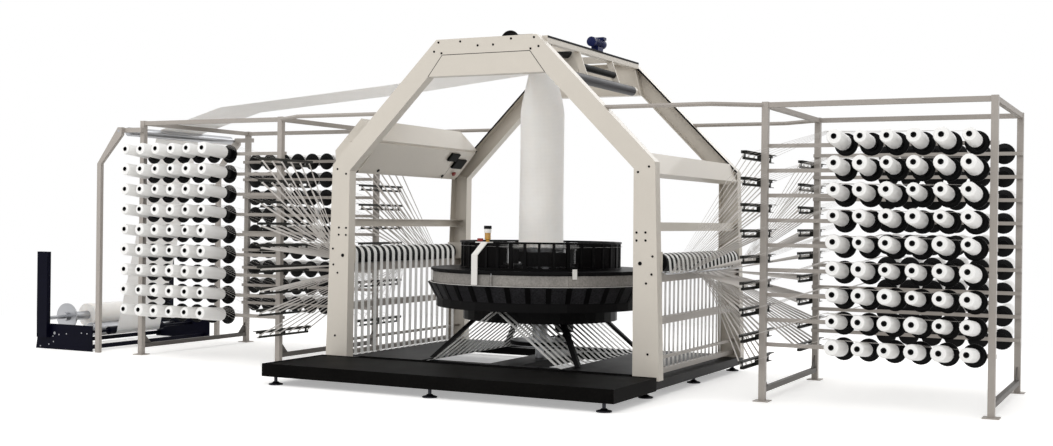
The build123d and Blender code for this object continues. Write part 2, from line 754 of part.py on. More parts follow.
def feed_bearings():
    """Plates on the legs that carry the feed rollers."""
    plate = box(FEED_X + BEARING_PLATE_X[0], FEED_X + BEARING_PLATE_X[1],
                PORTAL_INNER_Y - BEARING_PLATE, PORTAL_INNER_Y,
                FEED_Z + BEARING_PLATE_Z[0], FEED_Z + BEARING_PLATE_Z[1])
    plate -= rod_y(FEED_SHAFT + RUNNING, (FEED_X, FEED_Z), PORTAL_INNER_Y - 20, PORTAL_INNER_Y + OVER)
    return mirror_x(mirror_y([plate]))


def side_rails():
    """Rails along each side below the feed roller, welded into the legs."""
    y = PORTAL_WEB_Y
    return mirror_x([box(x0, x1, -y, y, z0, z1) for x0, x1, z0, z1 in SIDE_RAILS])


def band_y(index):
    """Y of the middle of a warp band, counted from the front."""
    return (index - (BAND_COUNT - 1) / 2) * BAND_PITCH


def warp_bands():
    """Groups of tapes from the feed roller down, inwards over the base and up to the drive casing."""
    half = BAND_WIDTH / 2
    slope = (BAND_TOP[1] - BAND_LOW_Z) / (BAND_TURN_X - BAND_TOP[0])
    bands = []
    for k in range(BAND_COUNT):
        y = band_y(k)
        top = DRUM_Z[0] if abs(y) < DRUM_RADIUS else BED_Z[0]
        past = top + 10
        end = (BAND_TURN_X - (past - BAND_LOW_Z) / slope, past)
        path = [(BAND_X, FEED_Z), (BAND_X, BAND_LOW_Z), (BAND_TURN_X, BAND_LOW_Z), end]
        band = ribbon(path, BAND_THICK, y - half, y + half)
        bands.append(band - box(-10, BAND_TURN_X, y - half - 1, y + half + 1, top, past + 10))
    return mirror_x(bands)


def creel_bands():
    """Tapes that fan in from each guide bar to the top of the feed roller."""
    start_x = POST_X[0] - POST_SIZE / 2 - GUIDE_SIZE[0]
    end_x = FEED_X + (FEED_RADIUS + 1) * cos(radians(WRAP_START))
    end_z = FEED_Z + (FEED_RADIUS + 1) * sin(radians(WRAP_START))
    wide, narrow = GUIDE_HALF - GUIDE_END, BAND_WIDTH / 2
    bands = []
    for k in range(BAND_COUNT):
        front = k < ROWS
        level = k if front else BAND_COUNT - 1 - k
        middle = -POST_Y if front else POST_Y
        z = GUIDE_TOP_Z - GUIDE_PITCH * level
        low = [(start_x, middle - wide, z), (start_x, middle + wide, z),
               (end_x, band_y(k) + narrow, end_z), (end_x, band_y(k) - narrow, end_z)]
        high = [(x, y, z + BAND_THICK) for x, y, z in low]
        bands.append(polyhedron(low, high))
    return mirror_x(bands)


def creel_posts():
    """Eight square posts on foot plates."""
    half, plate = POST_SIZE / 2, POST_PLATE_HALF
    posts = []
    for x in POST_X:
        posts.append(box(x - half, x + half, POST_Y - half, POST_Y + half, POST_PLATE, POST_TOP))
        posts.append(box(x - plate, x + plate, POST_Y - plate, POST_Y + plate, 0, POST_PLATE))
    return mirror_x(mirror_y(posts))


def tie_tube(points):
    """A six-sided tube with mitred bends through the points."""
    path = Polyline(*points)
    plane = Plane(origin=points[0], z_dir=Vector(*points[1]) - Vector(*points[0]))
    section = plane * RegularPolygon(LINK_SIZE / 2, 6)
    return sweep(section, path=path, transition=Transition.RIGHT)


def rafter_x(z):
    """X of the rafter's outer edge at a height."""
    (x0, z0), (x1, z1) = KNEE_OUTER, CROWN_OUTER
    return x0 - (z - z0) * (x0 - x1) / (z1 - z0)


def creel_links():
    """The bent tie from a creel post's top to the rafter, in its two straight runs."""
    half, reach = POST_SIZE / 2, 60
    mid_y = PORTAL_OUTER_Y - PORTAL_DEPTH / 2
    low, high = TIE_Z - reach, TIE_Z + reach
    end_x = rafter_x(TIE_Z) - reach
    link = tie_tube([(POST_X[0], POST_Y, TIE_Z), (LINK_BEND_X, mid_y, TIE_Z), (end_x, mid_y, TIE_Z)])
    link -= box(POST_X[0] - half, POST_X[0] + half, POST_Y - half, POST_Y + half, low, high)
    rafter = [KNEE_OUTER, CROWN_OUTER, CROWN_INNER, KNEE_INNER]
    link -= prism_y(rafter, PORTAL_INNER_Y - OVER, PORTAL_OUTER_Y + OVER)
    link = max(link.solids(), key=lambda piece: piece.volume)
    beyond = (0, 2000, low, high)
    return [link - box(0, LINK_BEND_X, *beyond), link - box(LINK_BEND_X, 3000, *beyond)]


def creel_ties():
    """Rails that tie the posts at the top and the foot, and the ties to the gantry."""
    half = POST_SIZE / 2
    inner, outer = POST_X
    y = POST_Y - half
    top_z = (TIE_Z - TIE_HALF, TIE_Z + TIE_HALF)
    along = box(inner + half, outer - half, POST_Y - TIE_HALF, POST_Y + TIE_HALF, *top_z)
    ends = [box(x - TIE_HALF, x + TIE_HALF, -y, y, *top_z) for x in POST_X]
    feet = [box(x - TIE_HALF, x + TIE_HALF, -y, y, *FOOT_TIE_Z) for x in POST_X]
    corner = FOOT_TIE_Z[1]
    gussets = []
    for x in POST_X:
        sides = [[(x + dx, y, corner), (x + dx, y, corner + GUSSET), (x + dx, y - GUSSET, corner)]
                 for dx in (-GUSSET_HALF, GUSSET_HALF)]
        gussets.append(polyhedron(*sides))
    return mirror_x(mirror_y([along] + creel_links() + gussets) + ends + feet)


def spindle_rails():
    """Nine rails on each face of each creel, behind the posts, that carry the spindles."""
    half = POST_SIZE / 2
    y1 = POST_Y - half
    y0 = y1 - RAIL_SIZE
    x0, x1 = POST_X[0] - half, POST_X[1] + half
    rails = []
    for row in range(ROWS):
        z = ROW_TOP_Z - ROW_PITCH * row
        rails.append(box(x0, x1, y0, y1, z - RAIL_SIZE / 2, z + RAIL_SIZE / 2))
    return mirror_x(mirror_y(rails))


def spindle_places():
    """Centre of each spindle's root on the right creel's back face, with its row and column."""
    for row in range(ROWS):
        for column in range(COLUMNS):
            yield COLUMN_X + COLUMN_PITCH * column, ROW_TOP_Z - ROW_PITCH * row, row, column


def spindle_discs():
    """The discs at the spindle roots."""
    y0 = POST_Y - POST_SIZE / 2
    corners = polygon_points(DISC_RADIUS, 6)
    discs = []
    for x, z, _, _ in spindle_places():
        discs.append(prism_y([(x + a, z + b) for a, b in corners], y0, y0 + DISC_THICK))
    return mirror_x(mirror_y(discs))


def yarn_packages():
    """Yarn packages on the spindles, of four fullnesses, tipped up towards their free ends."""
    y0 = POST_Y - POST_SIZE / 2 + DISC_THICK
    packages = []
    for x, z, row, column in spindle_places():
        radius = PACKAGE_RADIUS - 3 * ((3 * column + 5 * row) % 4)
        corners = list(reversed(polygon_points(radius, 6)))
        low = [(x + a, y0, z + b) for a, b in corners]
        high = [(x + a, PACKAGE_END_Y, z + b + PACKAGE_RISE) for a, b in corners]
        packages.append(polyhedron(low, high))
    return mirror_x(mirror_y(packages))


def guide_bars():
    """Bars with thread eyes on the inner posts, nine to a post."""
    x1 = POST_X[0] - POST_SIZE / 2
    x0 = x1 - GUIDE_SIZE[0]
    bars = []
    for level in range(ROWS):
        z = GUIDE_TOP_Z - GUIDE_PITCH * level
        bars.append(box(x0, x1, POST_Y - GUIDE_HALF, POST_Y + GUIDE_HALF, z - GUIDE_SIZE[1], z))
    return mirror_x(mirror_y(bars))


def cloth_tube():
    """The woven tube, round at the ring and pressed flat below the rollers."""
    count = 24
    half, edge = LAY_FLAT / 2, CLOTH_GAP

    def section(z, flat):
        points = []
        for k in range(count):
            angle = 2 * pi * k / count
            round_x, round_y = CLOTH_RADIUS * cos(angle), CLOTH_RADIUS * sin(angle)
            share = (angle % pi) / pi
            flat_x, flat_y = edge * cos(angle), half * (1 - abs(2 * share - 1)) * (1 if angle < pi else -1)
            points.append((round_x + (flat_x - round_x) * flat, round_y + (flat_y - round_y) * flat, z))
        return points

    levels = [(CLOTH_RING_Z[1], 0.0), (TUBE_ROUND_Z, 0.0), (CLOTH_TOP, 1.0)]
    whole = None
    for (z0, f0), (z1, f1) in zip(levels, levels[1:]):
        piece = polyhedron(section(z0, f0), section(z1, f1), split=f0 != f1)
        whole = piece if whole is None else whole + piece
    return whole


def cloth_web():
    """The flattened cloth from the take-up over the guides to the winder."""
    gap = CLOTH_GAP
    stations = [(DRAW_CENTRE[0] + DRAW_RADIUS + gap, CLOTH_TOP, 0), (*DRAW_CENTRE, DRAW_RADIUS + gap),
                (*GUIDE_BAR, -(GUIDE_BAR_RADIUS + gap)), *[(x, z, 0) for x, z in WEB_SAG],
                (*GUIDE_ROLLER, GUIDE_ROLLER_RADIUS + gap), (*IDLER, -(IDLER_RADIUS + gap)),
                (*WINDER_DRUM, -(WINDER_DRUM_RADIUS + gap))]
    path = web_path(stations, CLOTH_END)
    return ribbon(path, CLOTH_THICK, -LAY_FLAT / 2, LAY_FLAT / 2)


def takeup_frame():
    """Side plates, cross beams, guide bar and arm tube of the take-up on the gantry's crown."""
    solids = []
    beam_x = CROWN_TIE_X[0]
    for side in (-1, 1):
        y0, y1 = sorted((side * PLATE_Y, side * (PLATE_Y + PLATE_THICK)))
        plate = prism_y(PLATE_OUTLINE, y0, y1)
        for centre in (DRAW_CENTRE, NIP_CENTRE):
            plate -= rod_y(TAKEUP_SHAFT + RUNNING, centre, y0 - 1, y1 + 1)
        solids.append(plate)
        b0, b1 = sorted((side * (PLATE_Y + PLATE_THICK), side * (PLATE_Y + PLATE_THICK + CROWN_BEAM_WIDTH)))
        solids.append(box(-beam_x, beam_x, b0, b1, *CROWN_TIE_Z))
    solids.append(rod_y(GUIDE_BAR_RADIUS, GUIDE_BAR, -PLATE_Y, PLATE_Y))
    tube = rod_y(ARM_TUBE_RADIUS, ARM_TUBE, -ARM_TUBE_HALF, ARM_TUBE_HALF)
    for y in ARM_Y:
        arm = prism_y(ARM_OUTLINE, y - ARM_HALF, y + ARM_HALF)
        solids.append(max((arm - tube).solids(), key=lambda piece: piece.volume))
    return solids + [tube]


def roller(centre, radius, half, reach_front, reach_back):
    """A plain roller with a shaft through it."""
    return rod_y(radius, centre, -half, half) + rod_y(TAKEUP_SHAFT, centre, -reach_front, reach_back)


def handwheel():
    """Rimmed wheel on the front end of the draw roller's shaft."""
    x, z = DRAW_CENTRE
    (inner, outer), (y0, y1) = WHEEL_RADII, WHEEL_Y
    hub_radius, hub_back = WHEEL_HUB
    rim = rod_y(outer, DRAW_CENTRE, y0, y1) - rod_y(inner, DRAW_CENTRE, y0 - 1, y1 + 1)
    wheel = rim + rod_y(hub_radius, DRAW_CENTRE, y0, hub_back)
    for k in range(WHEEL_SPOKES):
        spoke = box(x - SPOKE_HALF, x + SPOKE_HALF, *SPOKE_Y, z, z + SPOKE_REACH)
        wheel += spoke.rotate(Axis((x, 0, z), (0, 1, 0)), 360 / WHEEL_SPOKES * k)
    return wheel - rod_y(TAKEUP_SHAFT + RUNNING, DRAW_CENTRE, y0 - OVER, hub_back + OVER)


def takeup_motor():
    """The small motor of the take-up on the crown's edge beam, with its foot and terminal box."""
    x, z = TAKEUP_MOTOR
    radius = TAKEUP_MOTOR_RADIUS
    body = rod_y(radius, TAKEUP_MOTOR, *TAKEUP_MOTOR_Y)
    foot = box(x - 35, x + 35, 20, 140, CROWN_TIE_Z[1], z - 35)
    terminals = box(x - radius, x + radius, 120, 190, z + 25, z + 60)
    return body + foot + terminals


def guide_stand():
    """Two bent posts that carry the cloth's outer guide roller, with straps to the creel."""
    x, z = GUIDE_ROLLER
    post_x = (STAND_X - STAND_SIZE[0] / 2, STAND_X + STAND_SIZE[0] / 2)
    bend = [(px, STAND_BEND_Z) for px in post_x]
    arm_end = [(x + 40, z - 40), (x + 40, z + 35), (x - 10, z + 35)]
    solids = []
    for side in (-1, 1):
        y0, y1 = sorted((side * STAND_Y, side * (STAND_Y + STAND_SIZE[1])))
        whole = box(*post_x, y0, y1, 0, STAND_BEND_Z) + prism_y(bend + arm_end, y0, y1)
        solids.append(whole - rod_y(TAKEUP_SHAFT + RUNNING, GUIDE_ROLLER, y0 - 1, y1 + 1))
        strap0, strap1 = sorted((side * (POST_Y + POST_SIZE / 2), side * STAND_Y))
        solids.append(box(x + 20, POST_SIZE / 2 - POST_X[1], strap0, strap1, z - 15, z + 30))
    return solids


def winder_frame():
    """Two side plates with slotted masts that guide the roll's shaft, and rails between them."""
    solids = []
    x0, x1 = WINDER_PLATE_X
    outline = [(x0, 0), (x0 + 40, WINDER_PLATE_TOP), (x1, WINDER_PLATE_TOP), (x1, 0)]
    roll_x = CLOTH_ROLL[0]
    mast_x = (roll_x - MAST_SIZE[0] / 2, roll_x + MAST_SIZE[0] / 2)
    face = STAND_Y + WINDER_PLATE
    for side in (-1, 1):
        y0, y1 = sorted((side * STAND_Y, side * face))
        plate = prism_y(outline, y0, y1)
        plate -= rod_y(TAKEUP_SHAFT + RUNNING, WINDER_DRUM, y0 - 1, y1 + 1)
        plate -= rod_y(TAKEUP_SHAFT, IDLER, y0 - 1, y1 + 1)
        solids.append(plate)
        mast = box(*mast_x, *sorted((side * face, side * (face + MAST_SIZE[1]))), *MAST_Z)
        slot_y = sorted((side * (face - 1), side * (face + SLOT_DEPTH)))
        slot = box(roll_x - SLOT_HALF, roll_x + SLOT_HALF, *slot_y, WINDER_PLATE_TOP + 20, SLOT_END_Z)
        solids.append(mast - slot)
    rails = [box(x, x + 40, -STAND_Y, STAND_Y, *RAIL_Z) for x in (x0 + 20, x1 - 100)]
    idler = rod_y(IDLER_RADIUS, IDLER, -WINDER_HALF, WINDER_HALF) + rod_y(TAKEUP_SHAFT, IDLER, -face, face)
    return solids + rails + [idler]


def cloth_roll():
    """The wound cloth on its core."""
    half, past = LAY_FLAT / 2, LAY_FLAT / 2 + OVER
    return rod_y(CLOTH_ROLL_RADIUS, CLOTH_ROLL, -half, half) - rod_y(CORE_BORE, CLOTH_ROLL, -past, past)


def roll_shaft():
    """The winding shaft with its core tube and two end discs."""
    reach = STAND_Y + 50
    whole = rod_y(CORE_RADIUS, CLOTH_ROLL, -CORE_HALF, CORE_HALF)
    whole += rod_y(ROLL_SHAFT_RADIUS, CLOTH_ROLL, -reach, reach)
    for side in (-1, 1):
        whole += rod_y(ROLL_DISC_RADIUS, CLOTH_ROLL, *sorted(side * y for y in ROLL_DISC_Y))
    return whole


def door_plane():
    """Local plane on the control box's lower face: x along the machine, y up the slope."""
    (xa, za), (xb, zb) = BOX_SECTION[0], BOX_SECTION[1]
    slope = Vector(xb - xa, 0, zb - za).normalized()
    along = Vector(0, 1, 0)
    return Plane(origin=(xa, 0, za), x_dir=along, z_dir=along.cross(slope))


def on_door(u, v, width, height, depth, lift=0.0):
    """A block on the control box's face, centred at u along the machine and v up the slope."""
    plane = door_plane()
    block = Box(width, height, depth).moved(Location((u, v, lift + depth / 2)))
    return plane.location * block


def on_door_rod(radius, u, v, low, high):
    """A round bar square to the control box's face, between two heights above it."""
    bar = Solid.make_cylinder(radius, high - low).moved(Location((u, v, low)))
    return door_plane().location * bar


def control_door():
    """The long front cover, hinged along its top edge, bored for the stop button."""
    cover = on_door(*BOX_DOOR, BOX_DOOR_THICK, DOOR_GAP)
    return cover - on_door_rod(BUTTON_STEM + RUNNING, *BUTTON_PLACE, -OVER, BOX_DOOR_THICK + OVER)


def displays():
    """The two screens on the cover."""
    return [on_door(*place, DISPLAY_THICK, BOX_DOOR_THICK + DOOR_GAP) for place in DISPLAYS]


def stop_button():
    """Mushroom stop button on a stem through the door."""
    low, high = BUTTON_LIFT
    stem = on_door_rod(BUTTON_STEM, *BUTTON_PLACE, 8, low - 2)
    neck = on_door_rod(BUTTON_NECK, *BUTTON_PLACE, low - 6, low)
    return stem + neck + on_door_rod(BUTTON_RADIUS, *BUTTON_PLACE, low, high)


def control_box():
    """Steel cabinet with lugs that reach the rafters."""
    spans = ((-PORTAL_INNER_Y, BOX_Y[0]), (BOX_Y[1], PORTAL_INNER_Y))
    return [prism_y(BOX_SECTION, *BOX_Y)] + [prism_y(BOX_LUG, y0, y1) for y0, y1 in spans]


def build():
    """Make and write every sub-part."""
    os.makedirs("parts", exist_ok=True)
    plates, stand, winder = PLATE_Y + PLATE_THICK, STAND_Y + STAND_SIZE[1], STAND_Y + WINDER_PLATE
    parts = {
        "portal_legs": portal_legs(),
        "rafters": rafters(),
        "crown_beams": crown_beams(),
        "long_beams": long_beams(),
        "base_beams": base_beams(),
        "floor_tray": tray(),
        "levelling_feet": levelling_feet(),
        "ring_legs": ring_legs(),
        "drive_casing": many_sided(DRUM_RADIUS, *DRUM_Z, SHAFT_RADIUS + 10),
        "bed_plate": many_sided(BED_RADIUS, *BED_Z, SHAFT_RADIUS + 10),
        "shaft_bearings": shaft_bearings(),
        "main_shaft": main_shaft(),
        "shuttle_carrier": shuttle_carrier(),
        "shuttles": shuttles(),
        "weft_bobbins": weft_bobbins(),
        "cloth_ring": cloth_ring(),
        "drive_belt": drive_belt(),
        "main_motor": main_motor(),
        "motor_pulley": motor_pulley(),
        "dish_panels": dish_panels(),
        "dish_ribs": dish_ribs(),
        "deck_supports": deck_supports(),
        "heald_band": heald_band(),
        "shuttle_door": shuttle_door(),
        "hinge_pin": hinge_pin(),
        "ring_deck": ring_deck(),
        "reed": reed(),
        "ring_brackets": ring_brackets(),
        "oil_cup": oil_cup(),
        "oil_valve": oil_valve(),
        "warp_shed": warp_shed(),
        "feed_roller_right": feed_roller(),
        "feed_roller_left": feed_roller().mirror(Plane.YZ),
        "feed_bearings": feed_bearings(),
        "side_rails": side_rails(),
        "warp_bands": warp_bands(),
        "creel_bands": creel_bands(),
        "creel_posts": creel_posts(),
        "creel_ties": creel_ties(),
        "spindle_rails": spindle_rails(),
        "spindle_discs": spindle_discs(),
        "yarn_packages": yarn_packages(),
        "guide_bars": guide_bars(),
        "cloth_tube": cloth_tube(),
        "cloth_web": cloth_web(),
        "takeup_frame": takeup_frame(),
        "draw_roller": roller(DRAW_CENTRE, DRAW_RADIUS, ROLLER_HALF, WHEEL_SHAFT, plates),
        "nip_roller": roller(NIP_CENTRE, NIP_RADIUS, ROLLER_HALF, plates, plates),
        "handwheel": handwheel(),
        "takeup_motor": takeup_motor(),
        "guide_stand": guide_stand(),
        "guide_roller": roller(GUIDE_ROLLER, GUIDE_ROLLER_RADIUS, ROLLER_REACH, stand, stand),
        "winder_frame": winder_frame(),
        "winder_drum": roller(WINDER_DRUM, WINDER_DRUM_RADIUS, WINDER_HALF, winder, winder),
        "cloth_roll": cloth_roll(),
        "roll_shaft": roll_shaft(),
        "control_box": control_box(),
        "control_door": control_door(),
        "displays": displays(),
        "stop_button": stop_button(),
    }
    for name, solids in parts.items():
        save(name, solids)


build()
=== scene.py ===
"""Circular loom with its two creels, take-up and winder, dressed around its solid model.

Lengths are metres in the model's own axes: X to the right, Y to the back, Z up.
"""
import logging
import math
from dataclasses import dataclass
from enum import Enum
from typing import Optional, Sequence

import bmesh
import bpy
import numpy as np
from mathutils import Matrix, Vector


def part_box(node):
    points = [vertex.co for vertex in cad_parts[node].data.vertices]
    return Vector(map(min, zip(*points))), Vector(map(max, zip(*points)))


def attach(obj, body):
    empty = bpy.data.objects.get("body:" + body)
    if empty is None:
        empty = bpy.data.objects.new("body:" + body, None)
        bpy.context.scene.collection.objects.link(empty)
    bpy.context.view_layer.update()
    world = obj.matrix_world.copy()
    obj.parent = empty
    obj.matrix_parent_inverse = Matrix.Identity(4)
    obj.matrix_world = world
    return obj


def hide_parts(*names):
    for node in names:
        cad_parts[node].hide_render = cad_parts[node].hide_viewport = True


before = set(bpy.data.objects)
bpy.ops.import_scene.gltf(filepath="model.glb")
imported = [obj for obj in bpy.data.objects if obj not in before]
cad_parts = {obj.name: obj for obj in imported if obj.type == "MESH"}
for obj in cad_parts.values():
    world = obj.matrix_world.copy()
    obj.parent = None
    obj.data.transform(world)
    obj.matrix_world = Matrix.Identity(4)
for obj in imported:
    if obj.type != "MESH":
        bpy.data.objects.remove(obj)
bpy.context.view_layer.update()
LOG = logging.getLogger("loom")
MM = 0.001
Array = np.ndarray


class Pattern(Enum):
    """What a finish's surface pattern is made of."""

    SMOOTH = "smooth"
    ORANGE_PEEL = "orange_peel"
    TURNED = "turned"
    CAST = "cast"
    GRAIN = "grain"
    WOUND = "wound"
    RIBBED = "ribbed"
    WOVEN = "woven"


def linear_colour(code: str) -> tuple[float, float, float, float]:
    """Turn an sRGB hex code into linear values.

    Args:
        code: six hex digits after a hash.

    Returns:
        Linear red, green, blue and an alpha of one.
    """
    parts = [int(code[i:i + 2], 16) / 255 for i in (1, 3, 5)]
    linear = [p / 12.92 if p <= 0.04045 else ((p + 0.055) / 1.055) ** 2.4 for p in parts]
    return (linear[0], linear[1], linear[2], 1.0)


def add_node(tree: bpy.types.NodeTree, kind: str, settings: Optional[dict] = None,
             links: Optional[dict] = None) -> bpy.types.Node:
    """Add a node with its settings and links.

    Args:
        tree: the node tree that gets the node.
        kind: the node's Blender type.
        settings: values by the name of a property or, failing that, of an input.
        links: output sockets by the name or number of the input that they feed.

    Returns:
        The new node.
    """
    node = tree.nodes.new(kind)
    for name, value in (settings or {}).items():
        if isinstance(name, str) and hasattr(node, name):
            setattr(node, name, value)
        else:
            node.inputs[name].default_value = value
    for name, socket in (links or {}).items():
        tree.links.new(socket, node.inputs[name])
    return node


@dataclass(frozen=True)
class Finish:
    """A material with its colour, gloss and surface pattern, darkened in the pattern's hollows as painted
    shade.

    The pattern's scale comes from grain_mm, the real size of its grain, turns or weave, drawn
    as coarse as the render needs to show it.
    """

    name: str
    colour: str
    roughness: float
    metallic: float = 0.0
    pattern: Pattern = Pattern.SMOOTH
    grain_mm: float = 6.0
    relief_mm: float = 0.15
    shade: float = 0.06
    coat: float = 0.0
    sheen: float = 0.0
    see_through: float = 0.0
    specular: float = 0.5
    glow_depth_mm: float = 0.0
    dark_below_m: float = 0.0

    def build(self) -> bpy.types.Material:
        """Make the material.

        Returns:
            A Blender material with this finish's nodes.
        """
        material = bpy.data.materials.new(self.name)
        material.use_nodes = True
        tree = material.node_tree
        tree.nodes.clear()
        shader = add_node(tree, "ShaderNodeBsdfPrincipled", {
            "Metallic": self.metallic, "Roughness": self.roughness, "Coat Weight": self.coat,
            "Sheen Weight": self.sheen, "Transmission Weight": self.see_through,
            "Specular IOR Level": self.specular, "Subsurface Weight": 1.0 if self.glow_depth_mm else 0.0,
            "Subsurface Radius": (1.0, 0.95, 0.9), "Subsurface Scale": self.glow_depth_mm * MM})
        coords = add_node(tree, "ShaderNodeTexCoord")
        follows = self.pattern in (Pattern.WOUND, Pattern.RIBBED, Pattern.WOVEN)
        place = coords.outputs["UV" if follows else "Object"]
        height = self.relief(tree, place)
        cloudy = add_node(tree, "ShaderNodeTexNoise", {"Scale": 2.3, "Detail": 5.0, "Roughness": 0.6},
                          {"Vector": coords.outputs["Object"]})
        base = linear_colour(self.colour)
        ramp = add_node(tree, "ShaderNodeValToRGB", links={"Fac": cloudy.outputs["Fac"]})
        for element, sign in zip(ramp.color_ramp.elements, (-1, 1)):
            element.color = (*[min(1.0, c * (1 + sign * self.shade)) for c in base[:3]], 1.0)
        ramp.color_ramp.elements[0].position, ramp.color_ramp.elements[1].position = 0.3, 0.7
        mixed = ramp.outputs["Color"]
        if height is not None:
            # The low parts of the relief are darkened in colour: painted shade in the pattern's hollows.
            groove_shade = add_node(tree, "ShaderNodeMapRange", {"To Min": 1 - 2.2 * self.shade, "To Max": 1.0},
                               {"Value": height})
            mixed = self.multiplied(tree, mixed, groove_shade.outputs["Result"])
            bump = add_node(tree, "ShaderNodeBump", {"Strength": 0.6, "Distance": self.relief_mm * MM},
                            {"Height": height})
            tree.links.new(bump.outputs["Normal"], shader.inputs["Normal"])
        # Below dark_below_m the colour is darkened: painted shade at the feet.
        if self.dark_below_m:
            level = add_node(tree, "ShaderNodeSeparateXYZ", links={"Vector": coords.outputs["Object"]})
            foot_shade = add_node(tree, "ShaderNodeMapRange", {
                "From Min": self.dark_below_m, "From Max": self.dark_below_m + 0.05,
                "To Min": 0.3, "To Max": 1.0}, {"Value": level.outputs["Z"]})
            mixed = self.multiplied(tree, mixed, foot_shade.outputs["Result"])
        tree.links.new(mixed, shader.inputs["Base Color"])
        rough = add_node(tree, "ShaderNodeMapRange", {
            "To Min": max(0.02, self.roughness - 0.06), "To Max": min(1.0, self.roughness + 0.08)},
            {"Value": cloudy.outputs["Fac"]})
        tree.links.new(rough.outputs["Result"], shader.inputs["Roughness"])
        output = add_node(tree, "ShaderNodeOutputMaterial")
        tree.links.new(shader.outputs["BSDF"], output.inputs["Surface"])
        return material

    @staticmethod
    def multiplied(tree: bpy.types.NodeTree, colour: bpy.types.NodeSocket,
                   share: bpy.types.NodeSocket) -> bpy.types.NodeSocket:
        """Darken a colour by a share of one.

        Args:
            tree: the material's node tree.
            colour: the colour.
            share: what it is multiplied by.

        Returns:
            The socket with the darker colour.
        """
        settings = {"data_type": "RGBA", "blend_type": "MULTIPLY", 0: 1.0}
        return add_node(tree, "ShaderNodeMix", settings, {6: colour, 7: share}).outputs[2]

    def relief(self, tree: bpy.types.NodeTree,
               place: bpy.types.NodeSocket) -> Optional[bpy.types.NodeSocket]:
        """Add the height pattern of the surface.

        Args:
            tree: the material's node tree.
            place: the coordinates that the pattern follows.

        Returns:
            The socket with the height from nought to one, or None on a smooth surface.
        """
        per_metre = 1000 / self.grain_mm
        if self.pattern is Pattern.SMOOTH:
            return None
        if self.pattern in (Pattern.ORANGE_PEEL, Pattern.CAST, Pattern.GRAIN):
            detail = {Pattern.ORANGE_PEEL: 1.0, Pattern.CAST: 6.0, Pattern.GRAIN: 3.0}[self.pattern]
            return add_node(tree, "ShaderNodeTexNoise", {"Scale": per_metre, "Detail": detail},
                            {"Vector": place}).outputs["Fac"]
        if self.pattern is Pattern.TURNED:
            stretched = add_node(tree, "ShaderNodeMapping", {"Scale": (3.0, per_metre, 3.0)},
                                 {"Vector": place})
            return add_node(tree, "ShaderNodeTexNoise", {"Scale": 1.0, "Detail": 2.0},
                            {"Vector": stretched.outputs["Vector"]}).outputs["Fac"]
        angles = {Pattern.WOUND: (14.0, -14.0), Pattern.RIBBED: (0.0,),
                  Pattern.WOVEN: (0.0, 90.0)}[self.pattern]
        waves = []
        for angle in angles:
            turned = add_node(tree, "ShaderNodeMapping", {"Rotation": (0, 0, math.radians(angle))},
                              {"Vector": place})
            wave = add_node(tree, "ShaderNodeTexWave", {
                "bands_direction": "X" if self.pattern is Pattern.RIBBED else "Y",
                "Scale": per_metre / 20 * math.pi, "Distortion": 0.4, "Detail": 1.0},
                {"Vector": turned.outputs["Vector"]})
            waves.append(wave.outputs["Fac"])
        if len(waves) == 1:
            return waves[0]
        return add_node(tree, "ShaderNodeMath", {"operation": "MAXIMUM"}, {0: waves[0], 1: waves[1]}).outputs[0]


# Enamel sprayed on folded steel: satin, with a slight orange peel from the gun
CREAM_ENAMEL = Finish("cream_enamel", "#CEC7BC", 0.42, 0.0, Pattern.ORANGE_PEEL, 9, 0.08, 0.025, coat=0.15)
# The same spray in grey on tubes and rails, with more handling marks
GREY_ENAMEL = Finish("warm_grey_enamel", "#A8A19A", 0.45, 0.0, Pattern.ORANGE_PEEL, 9, 0.08, 0.05, coat=0.1)
# The same enamel on the creels' ties, painted darker below 0.32 m on the low ones: painted shade at the feet
TIE_ENAMEL = Finish("grey_enamel_foot_shade", "#A8A19A", 0.5, 0.0, Pattern.ORANGE_PEEL, 9, 0.08, 0.06,
                    specular=0.3, dark_below_m=0.32)
# Fresh off-white spray on the small brackets: clean and even
PALE_ENAMEL = Finish("pale_enamel", "#E9E6E1", 0.4, 0.0, Pattern.ORANGE_PEEL, 9, 0.08, 0.02, coat=0.15)
# Black spray on machined parts: thicker, so the peel is deeper and the black uneven
BLACK_ENAMEL = Finish("black_enamel", "#0C0B0C", 0.42, 0.0, Pattern.ORANGE_PEEL, 8, 0.12, 0.25, specular=0.08)
# Walked-on black paint of the tray, dull and a little dusty
TRAY_PAINT = Finish("black_tray_paint", "#141312", 0.5, 0.0, Pattern.CAST, 18, 0.1, 0.35, specular=0.02)
# Dark blue spray on the winder's plates, nearly black and satin
NAVY_ENAMEL = Finish("navy_enamel", "#07081A", 0.45, 0.0, Pattern.ORANGE_PEEL, 8, 0.1, 0.2, specular=0.06)
# Blue paint over a rough casting, whose grain shows through
MOTOR_ENAMEL = Finish("blue_motor_enamel", "#0E1A4E", 0.4, 0.0, Pattern.CAST, 5, 0.2, 0.2, specular=0.15)
# Dull grey paint that has picked up lint and oil
DISH_PAINT = Finish("dusty_grey_paint", "#38373A", 0.5, 0.0, Pattern.CAST, 14, 0.15, 0.5, specular=0.12)
# Pale grey paint of the heald band, blotchy with lint
HEALD_PAINT = Finish("linty_grey_paint", "#A39E98", 0.5, 0.0, Pattern.CAST, 16, 0.15, 0.3)
# Turned or drawn steel, with fine rings from the tool
TURNED_STEEL = Finish("turned_steel", "#B9BABD", 0.32, 1.0, Pattern.TURNED, 2.5, 0.03, 0.08)
# The same rings under a black oxide, so the metal is dark but still glints
DARK_STEEL = Finish("blackened_steel", "#34343A", 0.35, 0.9, Pattern.TURNED, 2.5, 0.03, 0.15)
# Oiled spring wire, near black in the shade of the ring
REED_WIRE = Finish("oiled_reed_wire", "#151213", 0.42, 0.0, Pattern.GRAIN, 12, 0.02, 0.4, specular=0.12)
# Iron cast in sand and painted: pitted and matt
CAST_IRON = Finish("painted_cast_iron", "#1C1D20", 0.55, 0.0, Pattern.CAST, 5, 0.35, 0.25, specular=0.2)
